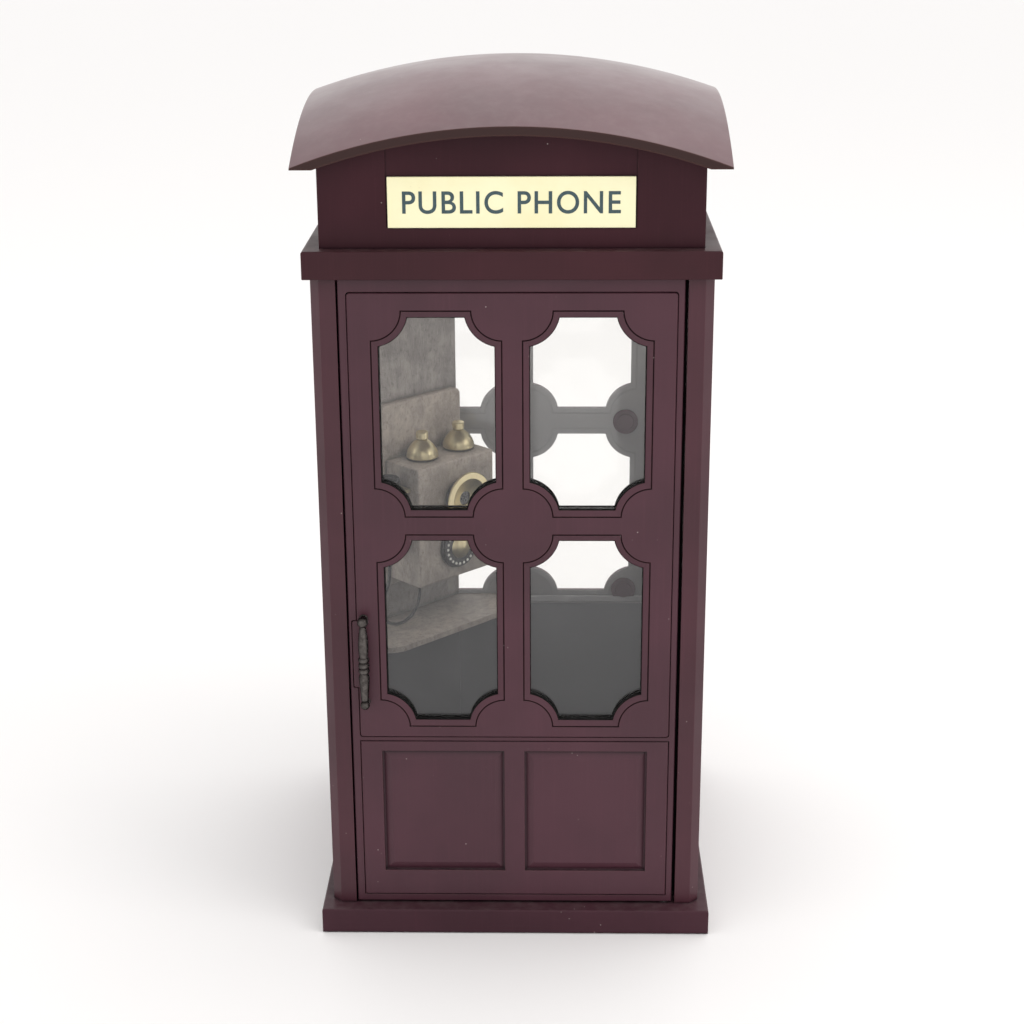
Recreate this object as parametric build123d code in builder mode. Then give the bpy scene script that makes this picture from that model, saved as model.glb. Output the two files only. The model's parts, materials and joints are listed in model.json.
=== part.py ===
"""Model telephone booth: a square cabinet with a domed roof, a lattice door and a wall telephone inside.

Millimetres, +Z up, origin on the ground at the centre of the plan, door towards -Y.
"""
from build123d import *
from math import asin, degrees
import os

# ---------------------------------------------------------------- plinth and body
PLINTH_OUT_W = 4.5          # plinth beyond the posts, each side
PLINTH_OUT_D = 7.5          # plinth beyond the posts, front and back
PLINTH_H = 11.7             # height of the plinth slab
PLINTH_EDGE = 0.8           # softened top edge
PAD_R = 7.0                 # felt pads under the plinth
PAD_T = 1.5                 # thickness of a pad
PAD_PROUD = 0.5             # how far a pad stands out of its pocket
PAD_INSET = 16.0            # pad centre from the plinth's sides
BODY_W = 171.0              # over the posts, left to right
BODY_D = 167.0              # over the posts, front to back
POST = 11.0                 # side of a square corner post
POST_CHAMFER = 4.0          # chamfer on a post's outer corner
BODY_H = 297.8              # height of the posts
WALL_T = 4.5                # thickness of a wall panel
WALL_SET_SIDE = 2.7         # side wall's face behind the posts' face
WALL_SET_BACK = 0.7         # back wall's face behind the posts' face
PANE_T = 1.0                # thickness of a clear pane
PANE_LAP = 10.5             # wall pane beyond the lights, left and right
PANE_END = 2.0              # wall pane inside the lattice's height, above and below
PANE_REBATE = 0.1           # spare depth behind a pane

# ---------------------------------------------------------------- cornice, frieze and roof
CORNICE_OUT_W = 2.5         # cornice beyond the posts, each side
CORNICE_OUT_D = 4.5         # cornice beyond the posts, front and back
CORNICE_H = 12.0
CORNICE_EDGE = 0.9
CORNICE_RING = 18.0         # width of the cornice's ring
CEILING_T = 3.0
FRIEZE_SET = 7.0            # frieze's face behind the cornice's face
FRIEZE_T = 4.0
RECESS_PLAY = 0.7           # recess beyond the sign, each side
RECESS_DEEP = 0.6
SIGN_W = 103.4
SIGN_H = 21.3
SIGN_T = 1.2
SIGN_UP = 8.8               # sign's lower edge above the cornice
ROOF_OUT = 10.0             # roof beyond the frieze, each side
ROOF_RISE = 70.5            # crown above the cornice
ROOF_TIP = 0.82             # thickness left at the corners, where the underside is cut level
ROOF_SPARE = 12.0           # curved slab beyond the roof before it is trimmed
ROOF_SIDE_R = 233.6         # radius from front to back at the crown
ROOF_FRONT_R = 276.6        # radius from left to right at the crown
ROOF_T = 3.6                # thickness of the roof shell
ROOF_SEAT = 0.1             # play between the frieze and the roof
BLOCK = 9.0                 # glue block in each corner of the frieze

# ---------------------------------------------------------------- lattice shared by door and walls
LIGHT_IN = 4.15             # light's inner edge from the centre line
STILE_W = 14.0              # from a light to the posts, on the door and the back wall
STILE_D = 12.0              # from a light to the posts, on the side walls
LATTICE_UP = 85.5           # lattice's lower edge above the plinth
LATTICE_DOWN = 6.4          # lattice's upper edge under the posts' top
LIGHT_ABOVE = 5.1           # lowest light above the lattice's lower edge
LIGHT_BELOW = 7.5           # highest light under the lattice's upper edge
MIDDLE_BAR = 7.7            # bar between the two rows of lights
MIDDLE_RAISE = 0.1          # that bar above the middle of the lights
LIGHT_NOTCH = 13.0          # radius of the concave corners
BEAD_W = 3.1                # width of the moulding around a light
BEAD_LAND = 0.7             # flat outer strip of the moulding
BEAD_DEEP = 0.9             # depth of the moulding's slope
BEAD_GAP = 0.6              # reveal line around the moulding
FIELD_IN = 4.6              # lower fields: inner edge from the centre line
FIELD_SIDE = 0.1            # outer edge inside the lights' outer edge
FIELD_ABOVE = 12.5          # lower edge above the panel's lower edge
FIELD_BELOW_TOP = 4.6       # upper edge under the panel's upper edge
FIELD_DEEP = 1.7            # depth of the recess around a raised field
FIELD_GROOVE = 0.8          # flat bottom of that recess
FIELD_BEVEL = 3.4           # width of the raised field's slope
FIELD_BELOW = 0.25          # field's face under the panel's face

# ---------------------------------------------------------------- door
DOOR_GAP_LATCH = 0.6
DOOR_GAP_HINGE = 1.4
DOOR_GAP_TOP = 0.8
DOOR_GAP_BOTTOM = 1.0
DOOR_T = 7.0
DOOR_SET = 0.1              # door frame's face behind the posts' face
DOOR_EDGE = 1.0             # rounded long edges of the door frame
LATTICE_SET = 4.5           # lattice and lower panel inside the doorway, each side
PANEL_UP = 4.5              # lower panel above the plinth
PANEL_GAP = 2.4             # lower panel under the lattice
FACE_T = 3.5                # thickness of lattice and lower panel
FACE_PROUD = 0.5            # how far they stand out of the frame
FACE_GAP = 0.35             # groove around them
FACE_EDGE = 0.4
EAR_OUT = 2.2               # lattice's ear beside the handle
EAR_START = 6.6             # ear's lower end above the handle's lower ball
EAR_STOP = 1.3              # ear's upper end under the handle's upper ball
WINDOW_CLEAR = 1.5          # opening through the door frame, beyond the lights
WINDOW_LAP = 7.7            # lap of the lattice over the frame, above and below
DOOR_PANE_LAP = 4.0         # lap of the pane on the frame
PIN_R = 1.2                 # pivot pins of the door
PIN_INSET = 3.5             # pin axis from the door's hinge edge
PIN_DEEP = 3.0              # pin's hold in the plinth and in the cornice
PIN_IN_DOOR = 3.0
PIN_CLEAR = 0.08
WASHER_R = 2.6
WASHER_PLAY = 0.1
STOP_W = 5.0                # stop strip behind the door's latch side
STOP_T = 3.0
STOP_CLEAR = 0.4
STOP_TOP_GAP = 2.0
CATCH_UP = 20.5             # magnet above the handle's lower ball
CATCH_R = 0.85
CATCH_T = 1.6

# ---------------------------------------------------------------- door handle
HANDLE_INSET = 3.0          # handle's axis inside the lattice's edge
HANDLE_OUT = 4.4            # handle's axis in front of the lattice
HANDLE_UP = 17.8            # lower ball above the lattice's lower edge
HANDLE_LONG = 40.2          # between the two balls' centres
BALL_TOP_R = 2.5
BALL_LOW_R = 2.15
BALL_NECK = 1.18            # neck radius beside a ball
RING_UP = (16.8, 19.45, 22.15)      # rings above the lower ball
RING_R = 2.55
RING_ROOT = 1.9
RING_HALF = 1.3
LOWER_MAX_R = 2.5
LOWER_MIN_R = 1.7
UPPER_MAX_R = 2.35
UPPER_MIN_R = 1.6
STEM_R = 1.05
ROSETTE_R = 2.0
ROSETTE_T = 0.5
SCREW_R = 1.7
SCREW_T = 0.9

# ---------------------------------------------------------------- inside
FLOOR_T = 2.0
FLOOR_CLEAR = 1.6           # floor's front edge behind the door
BOARD_REACH = 45.9          # diagonal board: where it meets the walls, from their corner
BOARD_T = 2.5
BACK_OVER_RIGHT = 0.3       # backboard beyond the box
BACK_OVER_LEFT = 2.3
BACK_UNDER = 5.2
BACK_OVER = 27.8
BACK_T = 4.5
BACK_CORNER = 3.5
PHONE_S = -26.5             # centre line of the telephone along the diagonal
BOX_W = 50.4
BOX_LOW = 129.2
BOX_HIGH = 191.2
BOX_D = 24.3
BOX_EDGE = 0.9
BELL_APART = 12.2           # bell from the middle of the pair
BELL_SHIFT = 2.0            # middle of the pair right of the centre line
BELL_IN_BOX = 10.4          # bell's axis in front of the box's back
BELL_R = 8.0
BELL_H = 9.6
BELL_LIFT = 0.7
BELL_TOP_R = 2.1
NUT_R = 3.1
NUT_H = 3.6
STUD_R = 1.0
MOUTH_Z = 172.4
MOUTH_R = 14.0
MOUTH_LIP = 3.2             # width of the bright rim
MOUTH_OUT = 9.7             # rim in front of the box
MOUTH_DEEP = 3.4            # depth of the dish
MOUTH_THROAT = 3.6
GRILLE_PLAY = 0.05
GRILLE_IN = 1.5             # grille's back behind the dish's floor
GRILLE_T = 0.7
GRILLE_HOLE_R = 0.42
MOUTH_BACK_R = 7.5
NECK_H = 2.6
DIAL_Z = 146.2
DIAL_R = 11.6
DIAL_T = 1.6
WHEEL_R = 11.0
WHEEL_T = 1.1
WHEEL_GAP = 0.3
PIP_COUNT = 22
PIP_RING = 9.2
PIP_R = 0.72
CAP_R = 6.4
CAP_H = 1.9
SPINDLE_R = 1.0
SPINDLE_CLEAR = 0.08
SPINDLE_SHORT = 0.3         # spindle's end under the dial's cap
RECV_BESIDE = 9.8           # receiver's axis beside the box
RECV_IN_BOX = 12.3          # receiver's axis in front of the box's back
RECV_UNDER = 4.2            # receiver's top under the box's top
RECV_LONG = 46.0
RECV_CAP_R = 6.2
RECV_CAP_H = 6.4
RECV_NECK_R = 3.2
RECV_BELLY_R = 4.7
RECV_TAIL_R = 1.9
EAR_HOLE_R = 2.2
FORK_T = 1.8                # hook that holds the receiver
FORK_CLEAR = 0.5
FORK_ARM = 2.2
GLAND_R = 1.7
GLAND_H = 2.2
SHELF_TOP = 104.4
SHELF_T = 3.0
SHELF_REACH = 74.4          # shelf along each wall from their corner
SHELF_END = 19.6            # straight end of the shelf at each wall
SHELF_ROUND = 14.0
BOSS_R = 6.4                # buttons that hold the panes
BOSS_IN_R = 4.2
BOSS_T = 1.6
BOSS_STEP = 0.6
BOSS_INSET = 5.7            # button inside the lights' outer edge
BOSS_LOW = 4.2              # lowest button above the lowest light's edge
BOSS_HIGH = 6.1             # highest button under the highest light's edge

# ---------------------------------------------------------------- handset cord
CORD_R = 0.9
CORD_POINTS = (             # along the diagonal, out from it, height
    (-47.0, 22.5, 127.0),
    (-47.0, 22.5, 120.6),
    (-51.5, 22.3, 113.2),
    (-58.8, 20.6, 109.2),
    (-66.3, 18.4, 111.6),
    (-68.6, 17.2, 119.6),
    (-65.2, 16.8, 126.8),
    (-61.5, 16.8, 132.8),
    (-61.5, 16.8, 141.0),
)

# ---------------------------------------------------------------- worked out from the sizes above
BASE_TOP = PAD_PROUD + PLINTH_H
BODY_TOP = BASE_TOP + BODY_H
CORNICE_TOP = BODY_TOP + CORNICE_H
PLINTH_W = BODY_W + 2 * PLINTH_OUT_W
PLINTH_D = BODY_D + 2 * PLINTH_OUT_D
CORNICE_W = BODY_W + 2 * CORNICE_OUT_W
CORNICE_D = BODY_D + 2 * CORNICE_OUT_D
BORE_W = CORNICE_W - 2 * CORNICE_RING
BORE_D = CORNICE_D - 2 * CORNICE_RING
FRIEZE_W = CORNICE_W - 2 * FRIEZE_SET
FRIEZE_D = CORNICE_D - 2 * FRIEZE_SET
ROOF_W = FRIEZE_W + 2 * ROOF_OUT
ROOF_D = FRIEZE_D + 2 * ROOF_OUT
ROOF_TOP = CORNICE_TOP + ROOF_RISE
HALF_W = BODY_W / 2
HALF_D = BODY_D / 2
OPEN_HALF = HALF_W - POST
WALL_X = HALF_W - WALL_SET_SIDE - WALL_T
WALL_Y = HALF_D - WALL_SET_BACK - WALL_T
DOOR_LEFT = -OPEN_HALF + DOOR_GAP_LATCH
DOOR_RIGHT = OPEN_HALF - DOOR_GAP_HINGE
DOOR_LOW = BASE_TOP + DOOR_GAP_BOTTOM
DOOR_HIGH = BODY_TOP - DOOR_GAP_TOP
FRAME_FRONT = HALF_D - DOOR_SET
FRAME_BACK = FRAME_FRONT - DOOR_T
FACE_FRONT = FRAME_FRONT + FACE_PROUD
FACE_BACK = FACE_FRONT - FACE_T
PIN_X = DOOR_RIGHT - PIN_INSET
PIN_Y = -(FRAME_FRONT - DOOR_T / 2)
FLOOR_TOP = BASE_TOP + FLOOR_T
FLOOR_FRONT = FRAME_BACK - FLOOR_CLEAR
LIGHT_OUT = OPEN_HALF - STILE_W
SIDE_LIGHT_OUT = HALF_D - POST - STILE_D
LATTICE_HALF = OPEN_HALF - LATTICE_SET
LATTICE_LOW = BASE_TOP + LATTICE_UP
LATTICE_HIGH = BODY_TOP - LATTICE_DOWN
LATTICE_MID = (LATTICE_LOW + LATTICE_HIGH) / 2
LOWER_LOW = LATTICE_LOW + LIGHT_ABOVE
UPPER_HIGH = LATTICE_HIGH - LIGHT_BELOW
BAR_Z = (LOWER_LOW + UPPER_HIGH) / 2 + MIDDLE_RAISE
LOWER_HIGH = BAR_Z - MIDDLE_BAR / 2
UPPER_LOW = BAR_Z + MIDDLE_BAR / 2
PANEL_LOW = BASE_TOP + PANEL_UP
PANEL_HIGH = LATTICE_LOW - PANEL_GAP
PANEL_MID = (PANEL_LOW + PANEL_HIGH) / 2
FIELD_LOW = PANEL_LOW + FIELD_ABOVE
FIELD_HIGH = PANEL_HIGH - FIELD_BELOW_TOP
WINDOW_HALF = LIGHT_OUT + WINDOW_CLEAR
WALL_SPAN_X = BODY_W - 2 * POST
WALL_SPAN_Y = BODY_D - 2 * POST
HANDLE_X = -(LATTICE_HALF - HANDLE_INSET)
HANDLE_Y = -(FACE_FRONT + HANDLE_OUT)
BALL_LOW_Z = LATTICE_LOW + HANDLE_UP
BALL_TOP_Z = BALL_LOW_Z + HANDLE_LONG
RING_Z = [BALL_LOW_Z + up for up in RING_UP]
EAR_LOW = BALL_LOW_Z + EAR_START
EAR_HIGH = BALL_TOP_Z - EAR_STOP
CATCH_Z = BALL_LOW_Z + CATCH_UP
BOARD_X = -WALL_X + BOARD_REACH
BOARD_Y = WALL_Y - BOARD_REACH
BOX_BACK = BACK_T
BOX_FRONT = BACK_T + BOX_D
BOX_LEFT = PHONE_S - BOX_W / 2
BACK_LEFT = BOX_LEFT - BACK_OVER_LEFT
BACK_RIGHT = PHONE_S + BOX_W / 2 + BACK_OVER_RIGHT
BACK_LOW = BOX_LOW - BACK_UNDER
BACK_HIGH = BOX_HIGH + BACK_OVER
BELL_OUT = BOX_BACK + BELL_IN_BOX
RECV_S = BOX_LEFT - RECV_BESIDE
RECV_OUT = BOX_BACK + RECV_IN_BOX
RECV_HIGH = BOX_HIGH - RECV_UNDER
RECV_LOW = RECV_HIGH - RECV_LONG
BOSS_Z = (LOWER_LOW + BOSS_LOW, BAR_Z, UPPER_HIGH - BOSS_HIGH)
GLAND_S = CORD_POINTS[0][0]
GLAND_OUT = CORD_POINTS[0][1]

FRONT = Plane(origin=(0, 0, 0), x_dir=(1, 0, 0), z_dir=(0, -1, 0))      # x right, y up, out of the door
BACK = Plane(origin=(0, 0, 0), x_dir=(-1, 0, 0), z_dir=(0, 1, 0))
LEFT = Plane(origin=(0, 0, 0), x_dir=(0, -1, 0), z_dir=(-1, 0, 0))
RIGHT = Plane(origin=(0, 0, 0), x_dir=(0, 1, 0), z_dir=(1, 0, 0))
PHONE = Plane(origin=(BOARD_X, WALL_Y, 0), x_dir=(1, 1, 0), z_dir=(1, -1, 0))      # s, height, out

made = {}


def finish_node(name, shape):
    """Label a finished piece and write it to its own file."""
    shape.label = name
    export_step(shape, f"parts/{name}.step")
    made[name] = shape


def light_places(light_out):
    """Centre, width and height of the four lights in a lattice that reach out to light_out."""
    width = light_out - LIGHT_IN
    places = []
    for side in (-1, 1):
        for low, high in ((LOWER_LOW, LOWER_HIGH), (UPPER_LOW, UPPER_HIGH)):
            places.append((side * (LIGHT_IN + light_out) / 2, (low + high) / 2, width, high - low))
    return places


def light_outline(plane, cx, cy, width, height, inset):
    """A rectangle with four concave quarter-round corners, offset inwards by inset."""
    with BuildSketch(plane) as outline:
        with Locations((cx, cy)):
            Rectangle(width - 2 * inset, height - 2 * inset)
            with GridLocations(width, height, 2, 2):
                Circle(LIGHT_NOTCH + inset, mode=Mode.SUBTRACT)
    return outline.sketch


def bead_set(plane, face, depth, light_out, name):
    """Four sloped mouldings, one round each light; face is the front, depth the thickness."""
    with BuildPart() as beads:
        for cx, cy, width, height in light_places(light_out):
            extrude(light_outline(plane.offset(face), cx, cy, width, height, BEAD_GAP), amount=-depth)
        for cx, cy, width, height in light_places(light_out):
            mouth = light_outline(plane.offset(face), cx, cy, width, height, BEAD_LAND)
            sight = light_outline(plane.offset(face - BEAD_DEEP), cx, cy, width, height, BEAD_W)
            loft([mouth, sight], ruled=True, mode=Mode.SUBTRACT)
            extrude(light_outline(plane.offset(face), cx, cy, width, height, BEAD_W), amount=-depth,
                    mode=Mode.SUBTRACT)
    finish_node(name, beads.part)


def rectangle_at(plane, centre, width, height):
    """A rectangle on a plane, as a sketch that any part can use."""
    with BuildSketch(plane) as outline:
        with Locations(centre):
            Rectangle(width, height)
    return outline.sketch


def field_sketches(plane, face, light_out):
    """For each lower field: the recess's outline, and the foot and top of the raised field."""
    field_out = light_out - FIELD_SIDE
    width = field_out - FIELD_IN
    height = FIELD_HIGH - FIELD_LOW
    foot_inset = 2 * FIELD_GROOVE
    top_inset = 2 * (FIELD_GROOVE + FIELD_BEVEL)
    fields = []
    for side in (-1, 1):
        centre = (side * (FIELD_IN + field_out) / 2, (FIELD_HIGH + FIELD_LOW) / 2)
        recess = rectangle_at(plane.offset(face), centre, width, height)
        foot = rectangle_at(plane.offset(face - FIELD_DEEP), centre, width - foot_inset, height - foot_inset)
        top = rectangle_at(plane.offset(face - FIELD_BELOW), centre, width - top_inset, height - top_inset)
        fields.append((recess, foot, top))
    return fields


def fall(radius, reach):
    """How far an arc of this radius lies under its crown at this reach."""
    return radius - (radius ** 2 - reach ** 2) ** 0.5


def roof_slab(outer_drop, thickness):
    """Doubly curved slab: an arc turned about a level axis, outer_drop below the roof's top surface."""
    axis_z = ROOF_TOP - ROOF_SIDE_R
    reach = ROOF_W / 2 + ROOF_SPARE
    top = ROOF_TOP - outer_drop
    under = top - thickness
    edge = top - fall(ROOF_FRONT_R - outer_drop, reach)
    under_edge = under - fall(ROOF_FRONT_R - outer_drop - thickness, reach)
    turn = degrees(asin((ROOF_D / 2 + ROOF_SPARE) / (under_edge - axis_z)))
    with BuildPart() as slab:
        with BuildSketch(Plane.XZ):
            with BuildLine():
                ThreePointArc((-reach, edge), (0, top), (reach, edge))
                Line((reach, edge), (reach, under_edge))
                ThreePointArc((reach, under_edge), (0, under), (-reach, under_edge))
                Line((-reach, under_edge), (-reach, edge))
            make_face()
        revolve(axis=Axis((0, 0, axis_z), (1, 0, 0)), revolution_arc=turn)
        mirror(slab.part, about=Plane.XZ)
    return slab.part


def phone_point(s, out, height):
    """A point given along the diagonal, out from it and by height, in the model's frame."""
    return PHONE.from_local_coords(Vector(s, height, out))


os.makedirs("parts", exist_ok=True)

# ================================================================ plinth, pads, floor
pad_at = GridLocations(PLINTH_W - 2 * PAD_INSET, PLINTH_D - 2 * PAD_INSET, 2, 2)

with BuildPart() as plinth:
    with BuildSketch(Plane.XY.offset(PAD_PROUD)):
        Rectangle(PLINTH_W, PLINTH_D)
    extrude(amount=PLINTH_H)
    fillet(plinth.faces().sort_by(Axis.Z)[-1].edges(), PLINTH_EDGE)
    with BuildSketch(Plane.XY.offset(PAD_PROUD)):
        with pad_at:
            Circle(PAD_R)
    extrude(amount=PAD_T - PAD_PROUD, mode=Mode.SUBTRACT)
    with BuildSketch(Plane.XY.offset(BASE_TOP)):
        with Locations((PIN_X, PIN_Y)):
            Circle(PIN_R)
    extrude(amount=-PIN_DEEP, mode=Mode.SUBTRACT)
finish_node("plinth", plinth.part)

with BuildPart() as foot_pads:
    with BuildSketch():
        with pad_at:
            Circle(PAD_R)
    extrude(amount=PAD_T)
finish_node("foot_pads", foot_pads.part)

with BuildPart() as floor_board:
    with BuildSketch(Plane.XY.offset(BASE_TOP)):
        with Locations((0, (WALL_Y - FLOOR_FRONT) / 2)):
            Rectangle(2 * WALL_X, WALL_Y + FLOOR_FRONT)
        with GridLocations(BODY_W - POST, BODY_D - POST, 2, 2):
            Rectangle(POST, POST, mode=Mode.SUBTRACT)
    extrude(amount=FLOOR_T)
finish_node("floor_board", floor_board.part)

# ================================================================ corner posts
for post_name, side_x, side_y in (("post_front_left", -1, -1), ("post_front_right", 1, -1),
                                  ("post_back_left", -1, 1), ("post_back_right", 1, 1)):
    with BuildPart() as post:
        with BuildSketch(Plane.XY.offset(BASE_TOP)):
            with Locations((side_x * (HALF_W - POST / 2), side_y * (HALF_D - POST / 2))):
                Rectangle(POST, POST)
        extrude(amount=BODY_H)
        outward = Axis((0, 0, 0), (side_x, side_y, 0))
        chamfer(post.edges().filter_by(Axis.Z).sort_by(outward)[-1], POST_CHAMFER)
    finish_node(post_name, post.part)

# ================================================================ walls: panel, mouldings, pane
pane_low = LATTICE_LOW + PANE_END
pane_high = LATTICE_HIGH - PANE_END
for side_name, plane, span, inner, light_out in (("left", LEFT, WALL_SPAN_Y, WALL_X, SIDE_LIGHT_OUT),
                                                 ("right", RIGHT, WALL_SPAN_Y, WALL_X, SIDE_LIGHT_OUT),
                                                 ("back", BACK, WALL_SPAN_X, WALL_Y, LIGHT_OUT)):
    outer = inner + WALL_T
    pane_width = 2 * (light_out + PANE_LAP)
    with BuildPart() as wall:
        with BuildSketch(plane.offset(inner)):
            with Locations((0, (BASE_TOP + BODY_TOP) / 2)):
                Rectangle(span, BODY_H)
        extrude(amount=WALL_T)
        for cx, cy, width, height in light_places(light_out):
            extrude(light_outline(plane.offset(outer), cx, cy, width, height, 0), amount=-WALL_T,
                    mode=Mode.SUBTRACT)
        for recess, foot, top in field_sketches(plane, outer, light_out):
            extrude(recess, amount=-FIELD_DEEP, mode=Mode.SUBTRACT)
            loft([foot, top], ruled=True)
        with BuildSketch(plane.offset(inner)):
            with Locations((0, (pane_low + pane_high) / 2)):
                Rectangle(pane_width, pane_high - pane_low)
        extrude(amount=PANE_T + PANE_REBATE, mode=Mode.SUBTRACT)
    finish_node(f"wall_{side_name}", wall.part)
    bead_set(plane, outer, WALL_T - PANE_T - PANE_REBATE, light_out, f"beads_{side_name}")
    with BuildPart() as pane:
        with BuildSketch(plane.offset(inner)):
            with Locations((0, (pane_low + pane_high) / 2)):
                Rectangle(pane_width, pane_high - pane_low)
        extrude(amount=PANE_T)
    finish_node(f"pane_{side_name}", pane.part)

with BuildPart() as pane_bosses:
    for plane, inner, along in ((BACK, WALL_Y, BOSS_INSET - LIGHT_OUT),
                                (RIGHT, WALL_X, SIDE_LIGHT_OUT - BOSS_INSET),
                                (LEFT, WALL_X, SIDE_LIGHT_OUT - BOSS_INSET)):
        with BuildSketch(plane.offset(inner)):
            with Locations(*[(along, height) for height in BOSS_Z]):
                Circle(BOSS_R)
        extrude(amount=-BOSS_T + BOSS_STEP)
        with BuildSketch(plane.offset(inner - BOSS_T + BOSS_STEP)):
            with Locations(*[(along, height) for height in BOSS_Z]):
                Circle(BOSS_IN_R)
        extrude(amount=-BOSS_STEP)
finish_node("pane_bosses", pane_bosses.part)

# ================================================================ cornice, ceiling, frieze
with BuildPart() as cornice:
    with BuildSketch(Plane.XY.offset(BODY_TOP)):
        Rectangle(CORNICE_W, CORNICE_D)
    extrude(amount=CORNICE_H)
    fillet(cornice.edges().group_by(Axis.Z)[-1], CORNICE_EDGE)
    fillet(cornice.edges().group_by(Axis.Z)[0], CORNICE_EDGE / 2)
    with BuildSketch(Plane.XY.offset(BODY_TOP)):
        Rectangle(BORE_W, BORE_D)
    extrude(amount=CORNICE_H, mode=Mode.SUBTRACT)
    with BuildSketch(Plane.XY.offset(BODY_TOP)):
        with Locations((PIN_X, PIN_Y)):
            Circle(PIN_R)
    extrude(amount=PIN_DEEP, mode=Mode.SUBTRACT)
finish_node("cornice", cornice.part)

with BuildPart() as ceiling_board:
    with BuildSketch(Plane.XY.offset(BODY_TOP)):
        Rectangle(BORE_W, BORE_D)
    extrude(amount=CEILING_T)
finish_node("ceiling_board", ceiling_board.part)

over_frieze = roof_slab(ROOF_T + ROOF_SEAT, ROOF_RISE)
frieze_x = FRIEZE_W / 2
frieze_y = FRIEZE_D / 2
inner_w = FRIEZE_W - 2 * FRIEZE_T
inner_d = FRIEZE_D - 2 * FRIEZE_T
for frieze_name, cx, cy, size_x, size_y in (
        ("frieze_front", 0, -(frieze_y - FRIEZE_T / 2), FRIEZE_W, FRIEZE_T),
        ("frieze_back", 0, frieze_y - FRIEZE_T / 2, FRIEZE_W, FRIEZE_T),
        ("frieze_left", -(frieze_x - FRIEZE_T / 2), 0, FRIEZE_T, inner_d),
        ("frieze_right", frieze_x - FRIEZE_T / 2, 0, FRIEZE_T, inner_d)):
    with BuildPart() as frieze:
        with BuildSketch(Plane.XY.offset(CORNICE_TOP)):
            with Locations((cx, cy)):
                Rectangle(size_x, size_y)
        extrude(amount=ROOF_RISE)
        add(over_frieze, mode=Mode.INTERSECT)
        if frieze_name == "frieze_front":
            with BuildSketch(FRONT.offset(frieze_y)):
                with Locations((0, CORNICE_TOP + SIGN_UP)):
                    Rectangle(SIGN_W + 2 * RECESS_PLAY, ROOF_RISE, align=(Align.CENTER, Align.MIN))
            extrude(amount=-RECESS_DEEP, mode=Mode.SUBTRACT)
    finish_node(frieze_name, frieze.part)

with BuildPart() as frieze_blocks:
    with BuildSketch(Plane.XY.offset(CORNICE_TOP)):
        with GridLocations(inner_w - BLOCK, inner_d - BLOCK, 2, 2):
            Rectangle(BLOCK, BLOCK)
    extrude(amount=ROOF_RISE)
    add(over_frieze, mode=Mode.INTERSECT)
finish_node("frieze_blocks", frieze_blocks.part)

with BuildPart() as sign_plate:
    with BuildSketch(FRONT.offset(frieze_y - RECESS_DEEP)):
        with Locations((0, CORNICE_TOP + SIGN_UP + SIGN_H / 2)):
            Rectangle(SIGN_W, SIGN_H)
    extrude(amount=SIGN_T)
finish_node("sign_plate", sign_plate.part)

# ================================================================ roof
side_radius = ROOF_SIDE_R - fall(ROOF_FRONT_R, ROOF_W / 2)
roof_eave = ROOF_TOP - ROOF_SIDE_R + side_radius - fall(side_radius, ROOF_D / 2) - ROOF_TIP
with BuildPart() as roof_shell:
    add(roof_slab(0, ROOF_T))
    with BuildSketch(Plane.XY.offset(roof_eave)):
        Rectangle(ROOF_W, ROOF_D)
    extrude(amount=ROOF_TOP - roof_eave + 1, mode=Mode.INTERSECT)
finish_node("roof_shell", roof_shell.part)

# ================================================================ door
window_low = LATTICE_LOW + WINDOW_LAP
window_high = LATTICE_HIGH - WINDOW_LAP
pane_side = WINDOW_HALF + DOOR_PANE_LAP
pane_bottom = window_low - DOOR_PANE_LAP
pane_top = window_high + DOOR_PANE_LAP
pane_back = FACE_BACK - PANE_T - PANE_REBATE
door_mid_x = (DOOR_LEFT + DOOR_RIGHT) / 2
strike_x = -OPEN_HALF + STOP_W / 2
screw_at = [(HANDLE_X, BALL_TOP_Z), (HANDLE_X, BALL_LOW_Z)]


def lattice_outline(plane, grow):
    """Outline of the upper door panel with its ear beside the handle, grown by the groove."""
    with BuildSketch(plane) as outline:
        with Locations((0, LATTICE_MID)):
            RectangleRounded(2 * (LATTICE_HALF + grow), LATTICE_HIGH - LATTICE_LOW + 2 * grow, 1.5)
        with Locations((-LATTICE_HALF - grow, (EAR_LOW + EAR_HIGH) / 2)):
            RectangleRounded(2 * EAR_OUT, EAR_HIGH - EAR_LOW + 2 * grow, 1.0)
    return outline.sketch


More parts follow.
